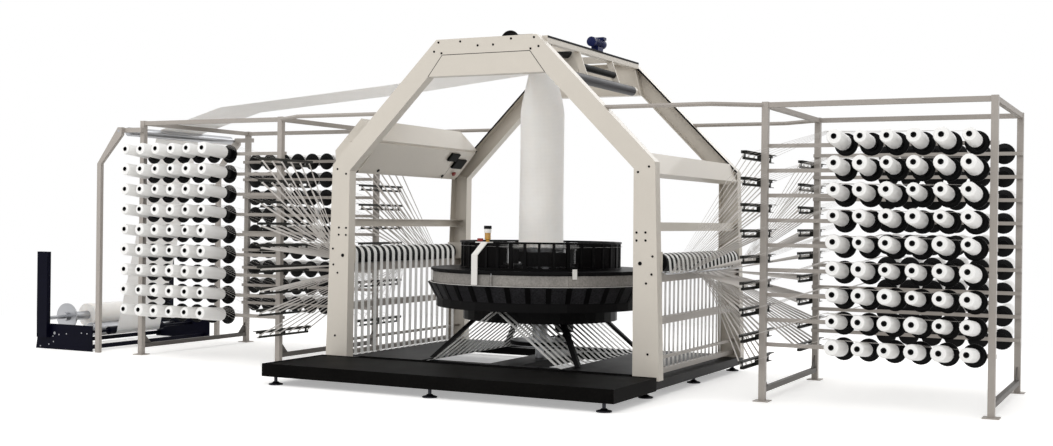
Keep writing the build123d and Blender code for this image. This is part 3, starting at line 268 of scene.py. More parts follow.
# Ground rubber of the feed rollers: matt and black, with a fine grain
FEED_RUBBER = Finish("black_rubber", "#0E0E0F", 0.6, 0.0, Pattern.GRAIN, 4, 0.1, 0.2, specular=0.12)
# Worn rubber sleeve, greyed and polished by the cloth
SLEEVE_RUBBER = Finish("worn_grey_rubber", "#3E3D41", 0.45, 0.0, Pattern.GRAIN, 5, 0.1, 0.3, specular=0.25)
# Plastic from a smooth mould: black with a low shine
BLACK_PLASTIC = Finish("black_moulded_plastic", "#0B0B0C", 0.4, 0.0, Pattern.GRAIN, 4, 0.05, 0.2,
                       specular=0.12)
# Plastic from a coarser mould, dusty grey on the guide bars
BAR_PLASTIC = Finish("grey_moulded_plastic", "#33332F", 0.5, 0.0, Pattern.GRAIN, 4, 0.08, 0.3, specular=0.2)
# Display windows, smooth and dark, cloudy where they are switched off
SCREEN_PLASTIC = Finish("dark_screen_plastic", "#10140E", 0.35, 0.0, Pattern.GRAIN, 3, 0.01, 0.4,
                        specular=0.02)
# Glossy red of a moulded knob
RED_PLASTIC = Finish("red_moulded_plastic", "#8A1D10", 0.35, 0.0, Pattern.GRAIN, 3, 0.03, 0.1, specular=0.35)
# Glazed eyes: white and wet-looking
CERAMIC = Finish("glazed_ceramic", "#F1EFE8", 0.15, 0.0, Pattern.GRAIN, 3, 0.01, 0.02, coat=0.6)
# Turned brass, warm, with the tool's rings
BRASS = Finish("brushed_brass", "#C79A45", 0.28, 1.0, Pattern.TURNED, 2, 0.03, 0.1)
# Clear cup with amber oil behind it, smooth and half see-through
AMBER_GLASS = Finish("amber_oil_glass", "#D9A23C", 0.08, 0.0, Pattern.GRAIN, 20, 0.01, 0.1, 0.6,
                     see_through=0.45)
# Polypropylene tape wound crosswise on its packages: white ridges that cross
WOUND_TAPE = Finish("wound_white_tape", "#F3F2F0", 0.42, 0.0, Pattern.WOUND, 7, 0.5, 0.03, sheen=0.2)
# The tape laid flat: glossy along its length, with fine ribs from drawing
FLAT_TAPE = Finish("flat_white_tape", "#E9E8E5", 0.34, 0.0, Pattern.RIBBED, 2.5, 0.06, 0.04, sheen=0.1)
# The same white tape on the runs between creel and rollers, seen edge-on and painted greyer: painted shade
SHADED_TAPE = Finish("shaded_white_tape", "#C6C1BC", 0.4, 0.0, Pattern.RIBBED, 2.5, 0.06, 0.06)
# Plain weave of the same tape, slightly translucent and beige against the light
WOVEN_TAPE = Finish("woven_tape_cloth", "#F5F2EE", 0.5, 0.0, Pattern.WOVEN, 6, 0.35, 0.05, sheen=0.3,
                    glow_depth_mm=6.0)

X_AXIS, Y_AXIS, Z_AXIS = np.eye(3)


@dataclass
class Shape:
    """Points and four-cornered faces of a surface, with texture places in metres."""

    points: Array
    faces: Array
    places: Array

    @staticmethod
    def join(shapes: Sequence["Shape"]) -> "Shape":
        """Put several shapes into one, face numbers moved along.

        Args:
            shapes: the shapes to join.

        Returns:
            One shape that holds them all.
        """
        starts = np.cumsum([0] + [len(s.points) for s in shapes[:-1]])
        faces = np.concatenate([s.faces + start for s, start in zip(shapes, starts)])
        points = np.concatenate([s.points for s in shapes])
        places = np.concatenate([s.places for s in shapes])
        return Shape(points, faces, places)

    def mirrored(self, axis: int) -> "Shape":
        """The shape on the other side of the machine, its faces turned back outwards.

        Args:
            axis: 0 to mirror X, 1 to mirror Y.

        Returns:
            The mirrored shape.
        """
        points = self.points.copy()
        points[:, axis] *= -1
        return Shape(points, self.faces[:, ::-1], self.places[:, ::-1])

    def with_mirror(self, axis: int) -> "Shape":
        """The shape together with its mirror image."""
        return Shape.join([self, self.mirrored(axis)])


def grid_faces(count: int, rows: int, columns: int, wrap: bool) -> Array:
    """Number the faces of many equal grids of rows by columns points.

    Args:
        count: how many grids follow one another.
        rows: points along the first parameter.
        columns: points along the second parameter.
        wrap: whether the last column joins the first.

    Returns:
        Face corners, four to a row.
    """
    ends = columns if wrap else columns - 1
    i, j = np.meshgrid(np.arange(rows - 1), np.arange(ends), indexing="ij")
    after = (j + 1) % columns
    one = np.stack([i * columns + j, i * columns + after,
                    (i + 1) * columns + after, (i + 1) * columns + j], -1)
    starts = np.arange(count)[:, None, None] * rows * columns
    return (one.reshape(-1, 4)[None] + starts).reshape(-1, 4)


def grid_places(wide: Array, tall: Array) -> Array:
    """Texture places of a grid's faces, in the order of grid_faces.

    Args:
        wide: where each column's edges are, one more than there are columns of faces.
        tall: where each row's edges are, one more than there are rows of faces.

    Returns:
        Four places for each face.
    """
    i, j = np.meshgrid(np.arange(len(tall) - 1), np.arange(len(wide) - 1), indexing="ij")
    corners = ((j, i), (j + 1, i), (j + 1, i + 1), (j, i + 1))
    return np.stack([np.stack([wide[a], tall[b]], -1) for a, b in corners], -2).reshape(-1, 4, 2)


def lathe(origins: Array, axes: Array, radii: Array, heights: Array, sides: int) -> Shape:
    """Turn profiles round axes: a point is origin + height * axis + radius * (cos, sin) across it.

    Args:
        origins: one start point for each copy.
        axes: one direction for each copy, or one for all.
        radii: profile radii, one row for each copy, or one row for all.
        heights: how far along the axis each radius stands, in the same layout.
        sides: flats round the axis.

    Returns:
        All the copies as one shape. A radius of nought closes an end.
    """
    origins, axes = np.atleast_2d(origins).astype(float), np.atleast_2d(axes).astype(float)
    count = len(origins)
    axes = axes / np.linalg.norm(axes, axis=1, keepdims=True)
    radii = np.broadcast_to(np.atleast_2d(radii), (count, np.shape(np.atleast_2d(radii))[1]))
    heights = np.broadcast_to(np.atleast_2d(heights), radii.shape)
    helper = np.where(np.abs(axes[:, 2:3]) > 0.9, np.array([[1.0, 0, 0]]), np.array([[0, 0, 1.0]]))
    across = np.cross(helper, axes)
    across /= np.linalg.norm(across, axis=1, keepdims=True)
    third = np.cross(axes, across)
    angle = np.arange(sides) * 2 * np.pi / sides
    ring = across[:, None] * np.cos(angle)[None, :, None] + third[:, None] * np.sin(angle)[None, :, None]
    points = (origins[:, None, None] + heights[:, :, None, None] * axes[:, None, None]
              + radii[:, :, None, None] * ring[:, None])
    rows = radii.shape[1]
    faces = grid_faces(count, rows, sides, True)
    run = np.concatenate([[0], np.cumsum(np.hypot(np.diff(radii[0]), np.diff(heights[0])))])
    turn = np.arange(sides + 1) * 2 * np.pi * radii[0].max() / sides
    places = np.tile(grid_places(turn, run), (count, 1, 1))
    return Shape(points.reshape(-1, 3), faces, places)


def strips(paths: Array, across: Array, thick: float) -> Shape:
    """Carry a flat rectangle along many paths: corners are path +- across +- half the thickness.

    Args:
        paths: middle lines, as count by points by three.
        across: half-width vectors, broadcast to the same layout.
        thick: thickness, square to the path and to across.

    Returns:
        Closed strips as one shape.
    """
    across = np.broadcast_to(across, paths.shape)
    tangent = np.gradient(paths, axis=1)
    normal = np.cross(tangent, across)
    normal /= np.maximum(np.linalg.norm(normal, axis=2, keepdims=True), 1e-9)
    up = normal * thick / 2
    ring = np.stack([paths - across - up, paths + across - up, paths + across + up, paths - across + up], 2)
    count, rows = paths.shape[:2]
    faces = grid_faces(count, rows, 4, True)
    steps = np.linalg.norm(np.diff(paths, axis=1), axis=2)
    run = np.concatenate([np.zeros((count, 1)), np.cumsum(steps, 1)], 1)
    wide = 2 * np.linalg.norm(across, axis=2).max()
    side = np.array([0, wide, wide + thick, 2 * wide + thick, 2 * (wide + thick)])
    low, high = run[:, :-1, None], run[:, 1:, None]
    first, second = side[None, None, :4], side[None, None, 1:]
    corners = ((first, low), (second, low), (second, high), (first, high))
    places = np.stack([np.stack(np.broadcast_arrays(*c), -1) for c in corners], -2).reshape(-1, 4, 2)
    starts = np.arange(count)[:, None] * rows * 4
    caps = np.concatenate([starts + [3, 2, 1, 0], starts + (rows - 1) * 4 + [0, 1, 2, 3]])
    cap_places = np.tile(np.array([[0, 0], [wide, 0], [wide, thick], [0, thick]]), (len(caps), 1, 1))
    return Shape(ring.reshape(-1, 3), np.concatenate([faces, caps]), np.concatenate([places, cap_places]))


def blocks(lows: Array, highs: Array) -> Shape:
    """Square blocks between many pairs of corners.

    Args:
        lows: lowest corners.
        highs: highest corners.

    Returns:
        All the blocks as one shape.
    """
    lows, highs = np.atleast_2d(lows).astype(float), np.atleast_2d(highs).astype(float)
    middle = (lows + highs) / 2
    start, end = middle.copy(), middle.copy()
    start[:, 0], end[:, 0] = lows[:, 0], highs[:, 0]
    half = np.zeros_like(middle)
    half[:, 1] = (highs[:, 1] - lows[:, 1]) / 2
    shape = strips(np.stack([start, end], 1), half[:, None], 1.0)
    ring = shape.points.reshape(-1, 2, 4, 3)
    ring[..., 2] = np.where(ring[..., 2] > middle[:, None, None, 2],
                            highs[:, None, None, 2], lows[:, None, None, 2])
    return Shape(ring.reshape(-1, 3), shape.faces, shape.places)


class Maker:
    """Makes objects from shapes and keeps one material for each finish."""

    def __init__(self) -> None:
        """Start with no materials made."""
        self.materials: dict[str, bpy.types.Material] = {}

    def material(self, finish: Finish) -> bpy.types.Material:
        """The material of a finish, made the first time it is asked for.

        Args:
            finish: the finish.

        Returns:
            Its one Blender material.
        """
        if finish.name not in self.materials:
            self.materials[finish.name] = finish.build()
        return self.materials[finish.name]

    def piece(self, name: str, shape: Shape, finish: Finish, slot: str, body: str = "root",
              replaces: Sequence[str] = (), smooth_deg: float = 40.0) -> bpy.types.Object:
        """Make an object from a shape, facing outwards, and fix it to a body.

        Args:
            name: the object's name.
            shape: its surface.
            finish: what it is made of.
            slot: not used.
            body: the body that it moves with.
            replaces: solids that it stands for.
            smooth_deg: edges sharper than this stay sharp.

        Returns:
            The finished object.
        """
        mesh = bpy.data.meshes.new(name)
        mesh.from_pydata(shape.points.tolist(), [], shape.faces.tolist())
        layer = mesh.uv_layers.new(name="surface")
        layer.data.foreach_set("uv", shape.places.reshape(-1).astype(np.float32))
        work = bmesh.new()
        work.from_mesh(mesh)
        bmesh.ops.remove_doubles(work, verts=work.verts, dist=1e-6)
        bmesh.ops.dissolve_degenerate(work, edges=work.edges, dist=1e-7)
        bmesh.ops.recalc_face_normals(work, faces=work.faces)
        work.to_mesh(mesh)
        work.free()
        mesh.materials.append(self.material(finish))
        mesh.polygons.foreach_set("use_smooth", [True] * len(mesh.polygons))
        mesh.set_sharp_from_angle(angle=math.radians(smooth_deg))
        piece = bpy.data.objects.new(name, mesh)
        bpy.context.scene.collection.objects.link(piece)
        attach(piece, body)
        if replaces:
            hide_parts(*replaces)
        return piece

    def dress(self, node: str, finish: Finish) -> None:
        """Give a solid of the model its finish.

        Args:
            node: the solid's name.
            finish: what it is made of.
        """
        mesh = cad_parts[node].data
        mesh.materials.clear()
        mesh.materials.append(self.material(finish))


@dataclass(frozen=True)
class PhotoCamera:
    """The camera of the photograph, as solved from its straight lines."""

    place: tuple[float, float, float] = (5.243, -10.703, 1.382)
    lens_mm: float = 44.65
    sensor_mm: float = 36.0
    photo_wide: float = 1053.0
    centre: tuple[float, float] = (526.5, 222.49)
    yaw_deg: float = 26.7458
    pitch_deg: float = -0.1132
    roll_deg: float = 0.7055

    def axes(self) -> tuple[Vector, Vector, Vector]:
        """Turn the camera's three angles into directions.

        Returns:
            Right, up and forward.
        """
        yaw, pitch, roll = (math.radians(a) for a in (self.yaw_deg, self.pitch_deg, self.roll_deg))
        forward = Vector((-math.sin(yaw) * math.cos(pitch), math.cos(yaw) * math.cos(pitch), math.sin(pitch)))
        level = Vector((math.cos(yaw), math.sin(yaw), 0))
        up = level.cross(forward)
        return (level * math.cos(roll) + up * math.sin(roll),
                up * math.cos(roll) - level * math.sin(roll), forward)

    def onto(self, pixel: tuple[float, float], point: Sequence[float], normal: Sequence[float]) -> Vector:
        """Carry a pixel of the photograph onto a plane.

        Args:
            pixel: column and row in the photograph.
            point: a point of the plane.
            normal: the plane's normal.

        Returns:
            The point of the plane that shows at the pixel.
        """
        right, up, forward = self.axes()
        focal = self.lens_mm / self.sensor_mm * self.photo_wide
        ray = forward * focal + right * (pixel[0] - self.centre[0]) - up * (pixel[1] - self.centre[1])
        start, normal = Vector(self.place), Vector(normal)
        return start + ray * ((Vector(point) - start).dot(normal) / ray.dot(normal))

    def build(self) -> None:
        """Make the scene's camera."""
        right, up, forward = self.axes()
        data = bpy.data.cameras.new("photo_camera")
        data.lens, data.sensor_width, data.clip_end = self.lens_mm, self.sensor_mm, 200.0
        camera = bpy.data.objects.new("photo_camera", data)
        turn = Matrix((right, up, -forward)).transposed()
        camera.matrix_world = Matrix.Translation(self.place) @ turn.to_4x4()
        bpy.context.scene.collection.objects.link(camera)
        bpy.context.scene.camera = camera


@dataclass(frozen=True)
class Studio:
    """Pale floor, white surroundings and soft lamps."""

    floor_half: float = 60.0
    floor_colour: str = "#F6F5F3"
    floor_glow: float = 0.36
    fade: tuple[float, float] = (3.8, 6.5)
    fade_shift: tuple[float, float, float] = (0.46, 0.4, 0)
    fade_stretch: tuple[float, float, float] = (0.7, 1, 1)
    lamp_aim: tuple[float, float, float] = (0, 0, 1.2)
    sky_light: float = 0.84
    lamps: tuple[tuple[tuple[float, float, float], float, float], ...] = (
        ((3.0, -9.0, 7.5), 170.0, 6.0), ((-7.0, -6.0, 6.5), 170.0, 5.0), ((2.0, 7.0, 7.0), 200.0, 6.0))

    def build(self) -> None:
        """Make the floor, the surroundings and the lamps."""
        scene = bpy.context.scene
        scene.view_settings.view_transform = "Standard"
        world = bpy.data.worlds.new("studio")
        scene.world = world
        world.use_nodes = True
        tree = world.node_tree
        tree.nodes.clear()
        strength = add_node(tree, "ShaderNodeMapRange", {"To Min": self.sky_light, "To Max": 1.0},
                            {"Value": self.seen(tree)})
        sky = add_node(tree, "ShaderNodeBackground", {"Color": (1, 1, 1, 1)},
                       {"Strength": strength.outputs[0]})
        output = add_node(tree, "ShaderNodeOutputWorld")
        tree.links.new(sky.outputs[0], output.inputs["Surface"])
        self.floor()
        for place, watts, size in self.lamps:
            light = bpy.data.lights.new("soft_lamp", "AREA")
            light.energy, light.size = watts, size
            lamp = bpy.data.objects.new("soft_lamp", light)
            away = Vector(place) - Vector(self.lamp_aim)
            turn = away.to_track_quat("Z", "Y").to_matrix().to_4x4()
            lamp.matrix_world = Matrix.Translation(place) @ turn
            scene.collection.objects.link(lamp)

    @staticmethod
    def seen(tree: bpy.types.NodeTree) -> bpy.types.NodeSocket:
        """Tell rays that the camera sees, straight, mirrored or through glass, from lighting rays.

        Args:
            tree: the node tree that gets the nodes.

        Returns:
            A socket that is one for what is seen and nought for light.
        """
        path = add_node(tree, "ShaderNodeLightPath")
        value = path.outputs["Is Camera Ray"]
        for kind in ("Is Glossy Ray", "Is Transmission Ray"):
            value = add_node(tree, "ShaderNodeMath", {"operation": "MAXIMUM"},
                             {0: value, 1: path.outputs[kind]}).outputs[0]
        return value

    def floor(self) -> None:
        """Make the pale floor: shaded near the machine, and white where it is seen further off."""
        mesh = bpy.data.meshes.new("studio_floor")
        h = self.floor_half
        mesh.from_pydata([(-h, -h, 0), (h, -h, 0), (h, h, 0), (-h, h, 0)], [], [(0, 1, 2, 3)])
        material = bpy.data.materials.new("white_floor_paint")
        material.use_nodes = True
        tree = material.node_tree
        tree.nodes.clear()
        paint = add_node(tree, "ShaderNodeBsdfDiffuse", {"Color": linear_colour(self.floor_colour)})
        glow = add_node(tree, "ShaderNodeEmission", {"Color": (1, 1, 1, 1), "Strength": self.floor_glow})
        near = add_node(tree, "ShaderNodeAddShader", links={0: paint.outputs[0], 1: glow.outputs[0]})
        white = add_node(tree, "ShaderNodeEmission", {"Color": (1, 1, 1, 1), "Strength": 1.0})
        coords = add_node(tree, "ShaderNodeTexCoord")
        oval = add_node(tree, "ShaderNodeMapping", {"Location": self.fade_shift, "Scale": self.fade_stretch},
                        {"Vector": coords.outputs["Object"]})
        away = add_node(tree, "ShaderNodeVectorMath", {"operation": "LENGTH"}, {0: oval.outputs[0]})
        share = add_node(tree, "ShaderNodeMapRange", {"From Min": self.fade[0], "From Max": self.fade[1]},
                         {"Value": away.outputs["Value"]})
        look = add_node(tree, "ShaderNodeMixShader",
                        links={0: share.outputs["Result"], 1: near.outputs[0], 2: white.outputs[0]})
        shown = add_node(tree, "ShaderNodeMixShader", links={0: self.seen(tree), 1: paint.outputs[0],
                                                             2: look.outputs[0]})
        output = add_node(tree, "ShaderNodeOutputMaterial")
        tree.links.new(shown.outputs[0], output.inputs["Surface"])
        mesh.materials.append(material)
        floor = bpy.data.objects.new("studio_floor", mesh)
        bpy.context.scene.collection.objects.link(floor)


@dataclass(frozen=True)
class Paintwork:
    """Finishes of the solids that show as they are."""

    def build(self, maker: Maker) -> None:
        """Dress each solid.

        Args:
            maker: gives materials.
        """
        plan = {
            CREAM_ENAMEL: ("portal_legs", "rafters", "crown_beams", "long_beams", "control_box",
                           "control_door", "feed_bearings", "takeup_frame"),
            TRAY_PAINT: ("floor_tray",),
            BLACK_ENAMEL: ("base_beams", "ring_legs", "drive_casing", "bed_plate", "dish_ribs",
                           "ring_deck", "reed", "deck_supports", "handwheel"),
            GREY_ENAMEL: ("creel_posts", "spindle_rails", "side_rails", "guide_stand"),
            TIE_ENAMEL: ("creel_ties",),
            PALE_ENAMEL: ("ring_brackets",),
            HEALD_PAINT: ("heald_band", "shuttle_door"),
            DISH_PAINT: ("dish_panels",),
            NAVY_ENAMEL: ("winder_frame",),
            MOTOR_ENAMEL: ("takeup_motor",),
            TURNED_STEEL: ("shaft_bearings", "cloth_ring", "main_shaft", "shuttle_carrier", "guide_roller",
                           "draw_roller", "roll_shaft", "winder_drum", "hinge_pin"),
            DARK_STEEL: ("levelling_feet",),
            CAST_IRON: ("main_motor", "motor_pulley"),
            FEED_RUBBER: ("drive_belt", "feed_roller_right", "feed_roller_left", "nip_roller"),
            BLACK_PLASTIC: ("shuttles", "spindle_discs", "oil_cup"),
            BAR_PLASTIC: ("guide_bars",),
            SCREEN_PLASTIC: ("displays",),
            RED_PLASTIC: ("stop_button", "oil_valve"),
            WOUND_TAPE: ("yarn_packages", "weft_bobbins"),
            FLAT_TAPE: ("warp_bands", "creel_bands", "warp_shed"),
            WOVEN_TAPE: ("cloth_tube", "cloth_web", "cloth_roll"),
        }
        for finish, nodes in plan.items():
            for node in nodes:
                maker.dress(node, finish)


@dataclass(frozen=True)
class Creels:
    """Yarn packages on their spindles, with discs, cores, guide bars and the tapes to them."""

    rows: int = 9
    columns: int = 6
    top_z: float = 1.985
    row_pitch: float = 0.193
    first_x: float = 2.950
    column_pitch: float = 0.189
    root_y: float = 0.787
    end_y: float = 1.198
    rise: float = 0.040
    disc_radius: float = 0.0875
    core_radius: float = 0.021
    post_x: float = 2.302
    post_y: float = 0.812
    guide_top_z: float = 1.930
    guide_pitch: float = 0.198
    guide_half: float = 0.415
    eye_half: float = 0.355
    eye_drop: float = -0.035
    lane_x: float = 2.86
    lane_rise: float = 0.085

    def spindles(self) -> tuple[Array, Array, Array]:
        """Roots, directions and package radii of one creel face.

        The radius steps through four fullnesses with the column and row, as in the solids.

        Returns:
            One row for each spindle of the face.
        """
        grid = np.meshgrid(np.arange(self.rows), np.arange(self.columns), indexing="ij")
        row, column = (a.ravel() for a in grid)
        root = np.stack([self.first_x + self.column_pitch * column, np.full(row.shape, self.root_y),
                         self.top_z - self.row_pitch * row], 1)
        way = np.array([0.0, self.end_y - self.root_y, self.rise])
        radius = 0.062 - 0.003 * ((3 * column + 5 * row) % 4)
        return root, np.broadcast_to(way, root.shape), radius

    def four_faces(self, shape: Shape) -> Shape:
        """A creel face's shape on both faces of both creels."""
        return shape.with_mirror(1).with_mirror(0)

    def build(self, maker: Maker) -> None:
        """Make the packages, discs, cores, guide bars and creel tapes.

        Args:
            maker: makes objects.
        """
        root, way, radius = self.spindles()
        length = float(np.linalg.norm(way[0]))
        core = self.core_radius
        r = radius[:, None]
        ones = np.ones_like(r)
        radii = np.concatenate([core * 1.6 * ones, r * 0.94, r, r * 0.97, r * 0.86, core * ones], 1)
        heights = np.array([[0.098, 0.102, 0.116, length - 0.026, length - 0.006, length - 0.002]]) * ones
        body = lathe(root, way, radii, heights, 16)
        maker.piece("wound_packages", self.four_faces(body), WOUND_TAPE, "white_yarn",
                    replaces=["yarn_packages"])
        hub = lathe(root, way, np.array([[0.0, 0.052, 0.052, core * 1.62, core * 1.62]]),
                    np.array([[0.0, 0.0, 0.06, 0.075, 0.1]]), 14)
        tip = lathe(root, way, np.array([[core, core, core * 0.72, core * 0.72, 0.0]]),
                    np.array([[length - 0.012, length + 0.0015, length + 0.0015,
                               length - 0.03, length - 0.03]]), 12)
        maker.piece("spindle_cores", self.four_faces(Shape.join([hub, tip])), BLACK_PLASTIC, "black_plastic")
        disc_r = self.disc_radius
        disc = lathe(root, Y_AXIS,
                     disc_r * np.array([[0.0, 0.97, 1.0, 1.0, 0.9, 0.86, 0.0]]),
                     np.array([[0.0, 0.0, 0.002, 0.011, 0.013, 0.0095, 0.0095]]), 24)
        maker.piece("round_discs", self.four_faces(disc), BLACK_PLASTIC, "black_plastic",
                    replaces=["spindle_discs"])
        self.guide_bars(maker)
        self.tapes(maker, root, radius)

    def eye_places(self) -> Array:
        """Eyes of one post's nine guide bars.

        Returns:
            Their places, as levels by six eyes by three.
        """
        level, eye = np.meshgrid(np.arange(self.rows), np.arange(self.columns), indexing="ij")
        y = self.post_y + self.eye_half * (2 * eye / (self.columns - 1) - 1)
        z = self.guide_top_z + self.eye_drop - self.guide_pitch * level
        return np.stack([np.full(y.shape, self.post_x - 0.044), y, z], -1)

    def guide_bars(self, maker: Maker) -> None:
        """Make the twin bars with ceramic eyes on each inner post.

        Args:
            maker: makes objects.
        """
        eyes = self.eye_places()
        z = eyes[:, 0, 2] - self.eye_drop
        x1 = np.full(z.shape, self.post_x)
        low_y, high_y = self.post_y - self.guide_half, self.post_y + self.guide_half

        def bar(x0: float, x_end: float, z0: float, z_end: float, y0: float, y_end: float) -> Shape:
            """The same block on each of the nine levels; x from the post, z from the bar's top."""
            lows = np.stack([x1 + x0, np.full(z.shape, y0), z + z0], 1)
            return blocks(lows, np.stack([x1 + x_end, np.full(z.shape, y_end), z + z_end], 1))

        # Face and flange of the upper bar, those of the lower bar, two struts and the block on the post
        parts = [bar(-0.040, -0.034, -0.024, -0.001, low_y, high_y),
                 bar(-0.034, 0.0, -0.006, -0.001, low_y, high_y),
                 bar(-0.040, -0.034, -0.066, -0.046, low_y + 0.04, high_y - 0.04),
                 bar(-0.034, -0.010, -0.066, -0.061, low_y + 0.04, high_y - 0.04),
                 bar(-0.034, -0.028, -0.061, -0.006, low_y + 0.06, low_y + 0.085),
                 bar(-0.034, -0.028, -0.061, -0.006, high_y - 0.085, high_y - 0.06),
                 bar(-0.030, 0.0, -0.061, -0.006, self.post_y - 0.03, self.post_y + 0.03)]
        maker.piece("folded_guide_bars", self.four_faces(Shape.join(parts)), BAR_PLASTIC, "black_plastic",
                    replaces=["guide_bars"], smooth_deg=30)
        centre = eyes.reshape(-1, 3) + np.array([0.002, 0, -0.002])
        rings = lathe(centre, X_AXIS, np.array([[0.005, 0.009, 0.009, 0.005, 0.005]]),
                      np.array([[-0.003, -0.003, 0.004, 0.004, -0.003]]), 10)
        maker.piece("ceramic_eyes", self.four_faces(rings), CERAMIC, "white_yarn")

    def tapes(self, maker: Maker, root: Array, radius: Array) -> None:
        """Make the tapes from the packages to the eyes.

        Each leaves the top of its package, runs in the lane between two rows and then straight
        to its eye.

        Args:
            maker: makes objects.
            root: spindle roots.
            radius: package radii.
        """
        eyes = self.eye_places().reshape(-1, 3)
        column = np.tile(np.arange(self.columns), self.rows)
        start = root + np.stack([-radius * 0.3, 0.15 + 0.03 * column, 0.016 + radius * 0.95], 1)
        lane = np.stack([np.full(len(root), self.lane_x), start[:, 1], root[:, 2] + self.lane_rise], 1)
        paths = np.stack([start, lane, eyes + np.array([0, 0, 0.001])], 1)
        lines = strips(paths, np.array([0, 0.0022, 0.0004]), 0.0010)
        # The tapes from packages to eyes take the greyer tape finish: painted shade on white tape.
        maker.piece("package_tapes", self.four_faces(lines), SHADED_TAPE, "white_tape")


@dataclass(frozen=True)
class WarpFeed:
    """Tapes from the guide bars over the feed rollers, down, and in below the ring."""

    groups: int = 18
    group_pitch: float = 0.1023
    tape_pitch: float = 0.0084
    tape_width: float = 0.0070
    fan_width: float = 0.0170
    gather: tuple[float, float] = (1.585, 0.972)
    gather_radius: float = 0.008
    rod_reach: float = 1.004
    cover_x: tuple[float, float] = (0.665, 1.385)
    cover_reach: float = 0.985
    cover_z: tuple[float, float] = (0.1555, 0.1590)
    roller_x: float = 1.500
    roller_z: float = 1.057
    wrap_radius: float = 0.0762
    low_z: float = 0.149
    turn_x: float = 0.620
    top: tuple[float, float] = (0.175, 0.486)
    casing_radius: float = 0.700
    casing_z: float = 0.4885
    bed_z: float = 0.6025

    def build(self, maker: Maker, creels: Creels) -> None:
        """Make the creel fans, feed tapes, gathering rods and tape covers of both sides.

        Args:
            maker: makes objects.
            creels: gives the places of the guide eyes.
        """
        eyes = creels.eye_places()
        group, tape = np.meshgrid(np.arange(self.groups), np.arange(creels.columns), indexing="ij")
        back = group >= creels.rows
        level = np.where(back, self.groups - 1 - group, group)
        side = np.where(back, 1.0, -1.0)
        start = eyes[level, tape].copy()
        start[..., 1] = side * creels.post_y + (start[..., 1] - creels.post_y)
        group_y = (group - (self.groups - 1) / 2) * self.group_pitch
        y = group_y + (tape - (creels.columns - 1) / 2) * self.tape_pitch
        flat_y = y.ravel()
        count = len(flat_y)
        (rod_x, rod_z), rod_radius = self.gather, self.gather_radius
        away_x, away_z = rod_x - self.roller_x, rod_z - rod_radius - self.roller_z
        meets = math.atan2(away_z, away_x) + math.acos(self.wrap_radius / math.hypot(away_x, away_z))
        wrap = np.linspace(meets, math.pi, 10)
        arc = np.zeros((count, len(wrap) + 1, 3))
        arc[:, 0, 0], arc[:, 0, 2] = rod_x, rod_z - rod_radius
        arc[:, 1:, 0] = self.roller_x + self.wrap_radius * np.cos(wrap)
        arc[:, 1:, 2] = self.roller_z + self.wrap_radius * np.sin(wrap)
        arc[:, :, 1] = flat_y[:, None]
        half = np.array([[0, self.fan_width * 0.3, self.fan_width * 0.5], [0, self.tape_width / 2, 0]])
        fan = strips(np.stack([start.reshape(-1, 3), arc[:, 0]], 1), half[None], 0.0012)
        # The fans take the greyer tape finish: painted shade on white tape.
        maker.piece("creel_fan_tapes", fan.with_mirror(0), SHADED_TAPE, "white_tape", replaces=["creel_bands"])
        rod = lathe(np.array([rod_x, -self.rod_reach, rod_z]), Y_AXIS,
                    np.array([[0, rod_radius, rod_radius, 0]]),
                    np.array([[0, 0, 2 * self.rod_reach, 2 * self.rod_reach]]), 16)
        maker.piece("gathering_rods", rod.with_mirror(0), TURNED_STEEL, "steel")
        slope = (self.top[1] - self.low_z) / (self.turn_x - self.top[0])
        end_z = np.where(np.abs(group_y) < self.casing_radius, self.casing_z, self.bed_z).ravel()
        end_x = self.turn_x - (end_z - self.low_z) / slope
        down_x = self.roller_x - self.wrap_radius
        bend = np.radians(np.linspace(0, 90, 4))
        low = np.stack([down_x - 0.03 * (1 - np.cos(bend)), self.low_z + 0.03 * (1 - np.sin(bend))], 1)
        turn = [[self.turn_x + 0.03, self.low_z], [self.turn_x - 0.02, self.low_z + 0.012]]
        line = np.concatenate([low, turn])
        paths = np.zeros((count, len(line) + 1, 3))
        paths[:, :-1, 0], paths[:, :-1, 2] = line[:, 0], line[:, 1]
        paths[:, :, 1] = flat_y[:, None]
        paths[:, -1, 0], paths[:, -1, 2] = end_x, end_z
        feed = strips(np.concatenate([arc, paths], 1), np.array([0, self.tape_width / 2, 0]), 0.0008)
        maker.piece("feed_tapes", feed.with_mirror(0), FLAT_TAPE, "white_tape", replaces=["warp_bands"])
        (x0, x1), reach, (z0, z1) = self.cover_x, self.cover_reach, self.cover_z
        lip = blocks(np.array([[x0, -reach, z0 - 0.012], [x0, -reach, z0]]),
                     np.array([[x0 + 0.003, reach, z0], [x1, reach, z1]]))
        maker.piece("tape_covers", lip.with_mirror(0), BLACK_ENAMEL, "black_paint", smooth_deg=20)


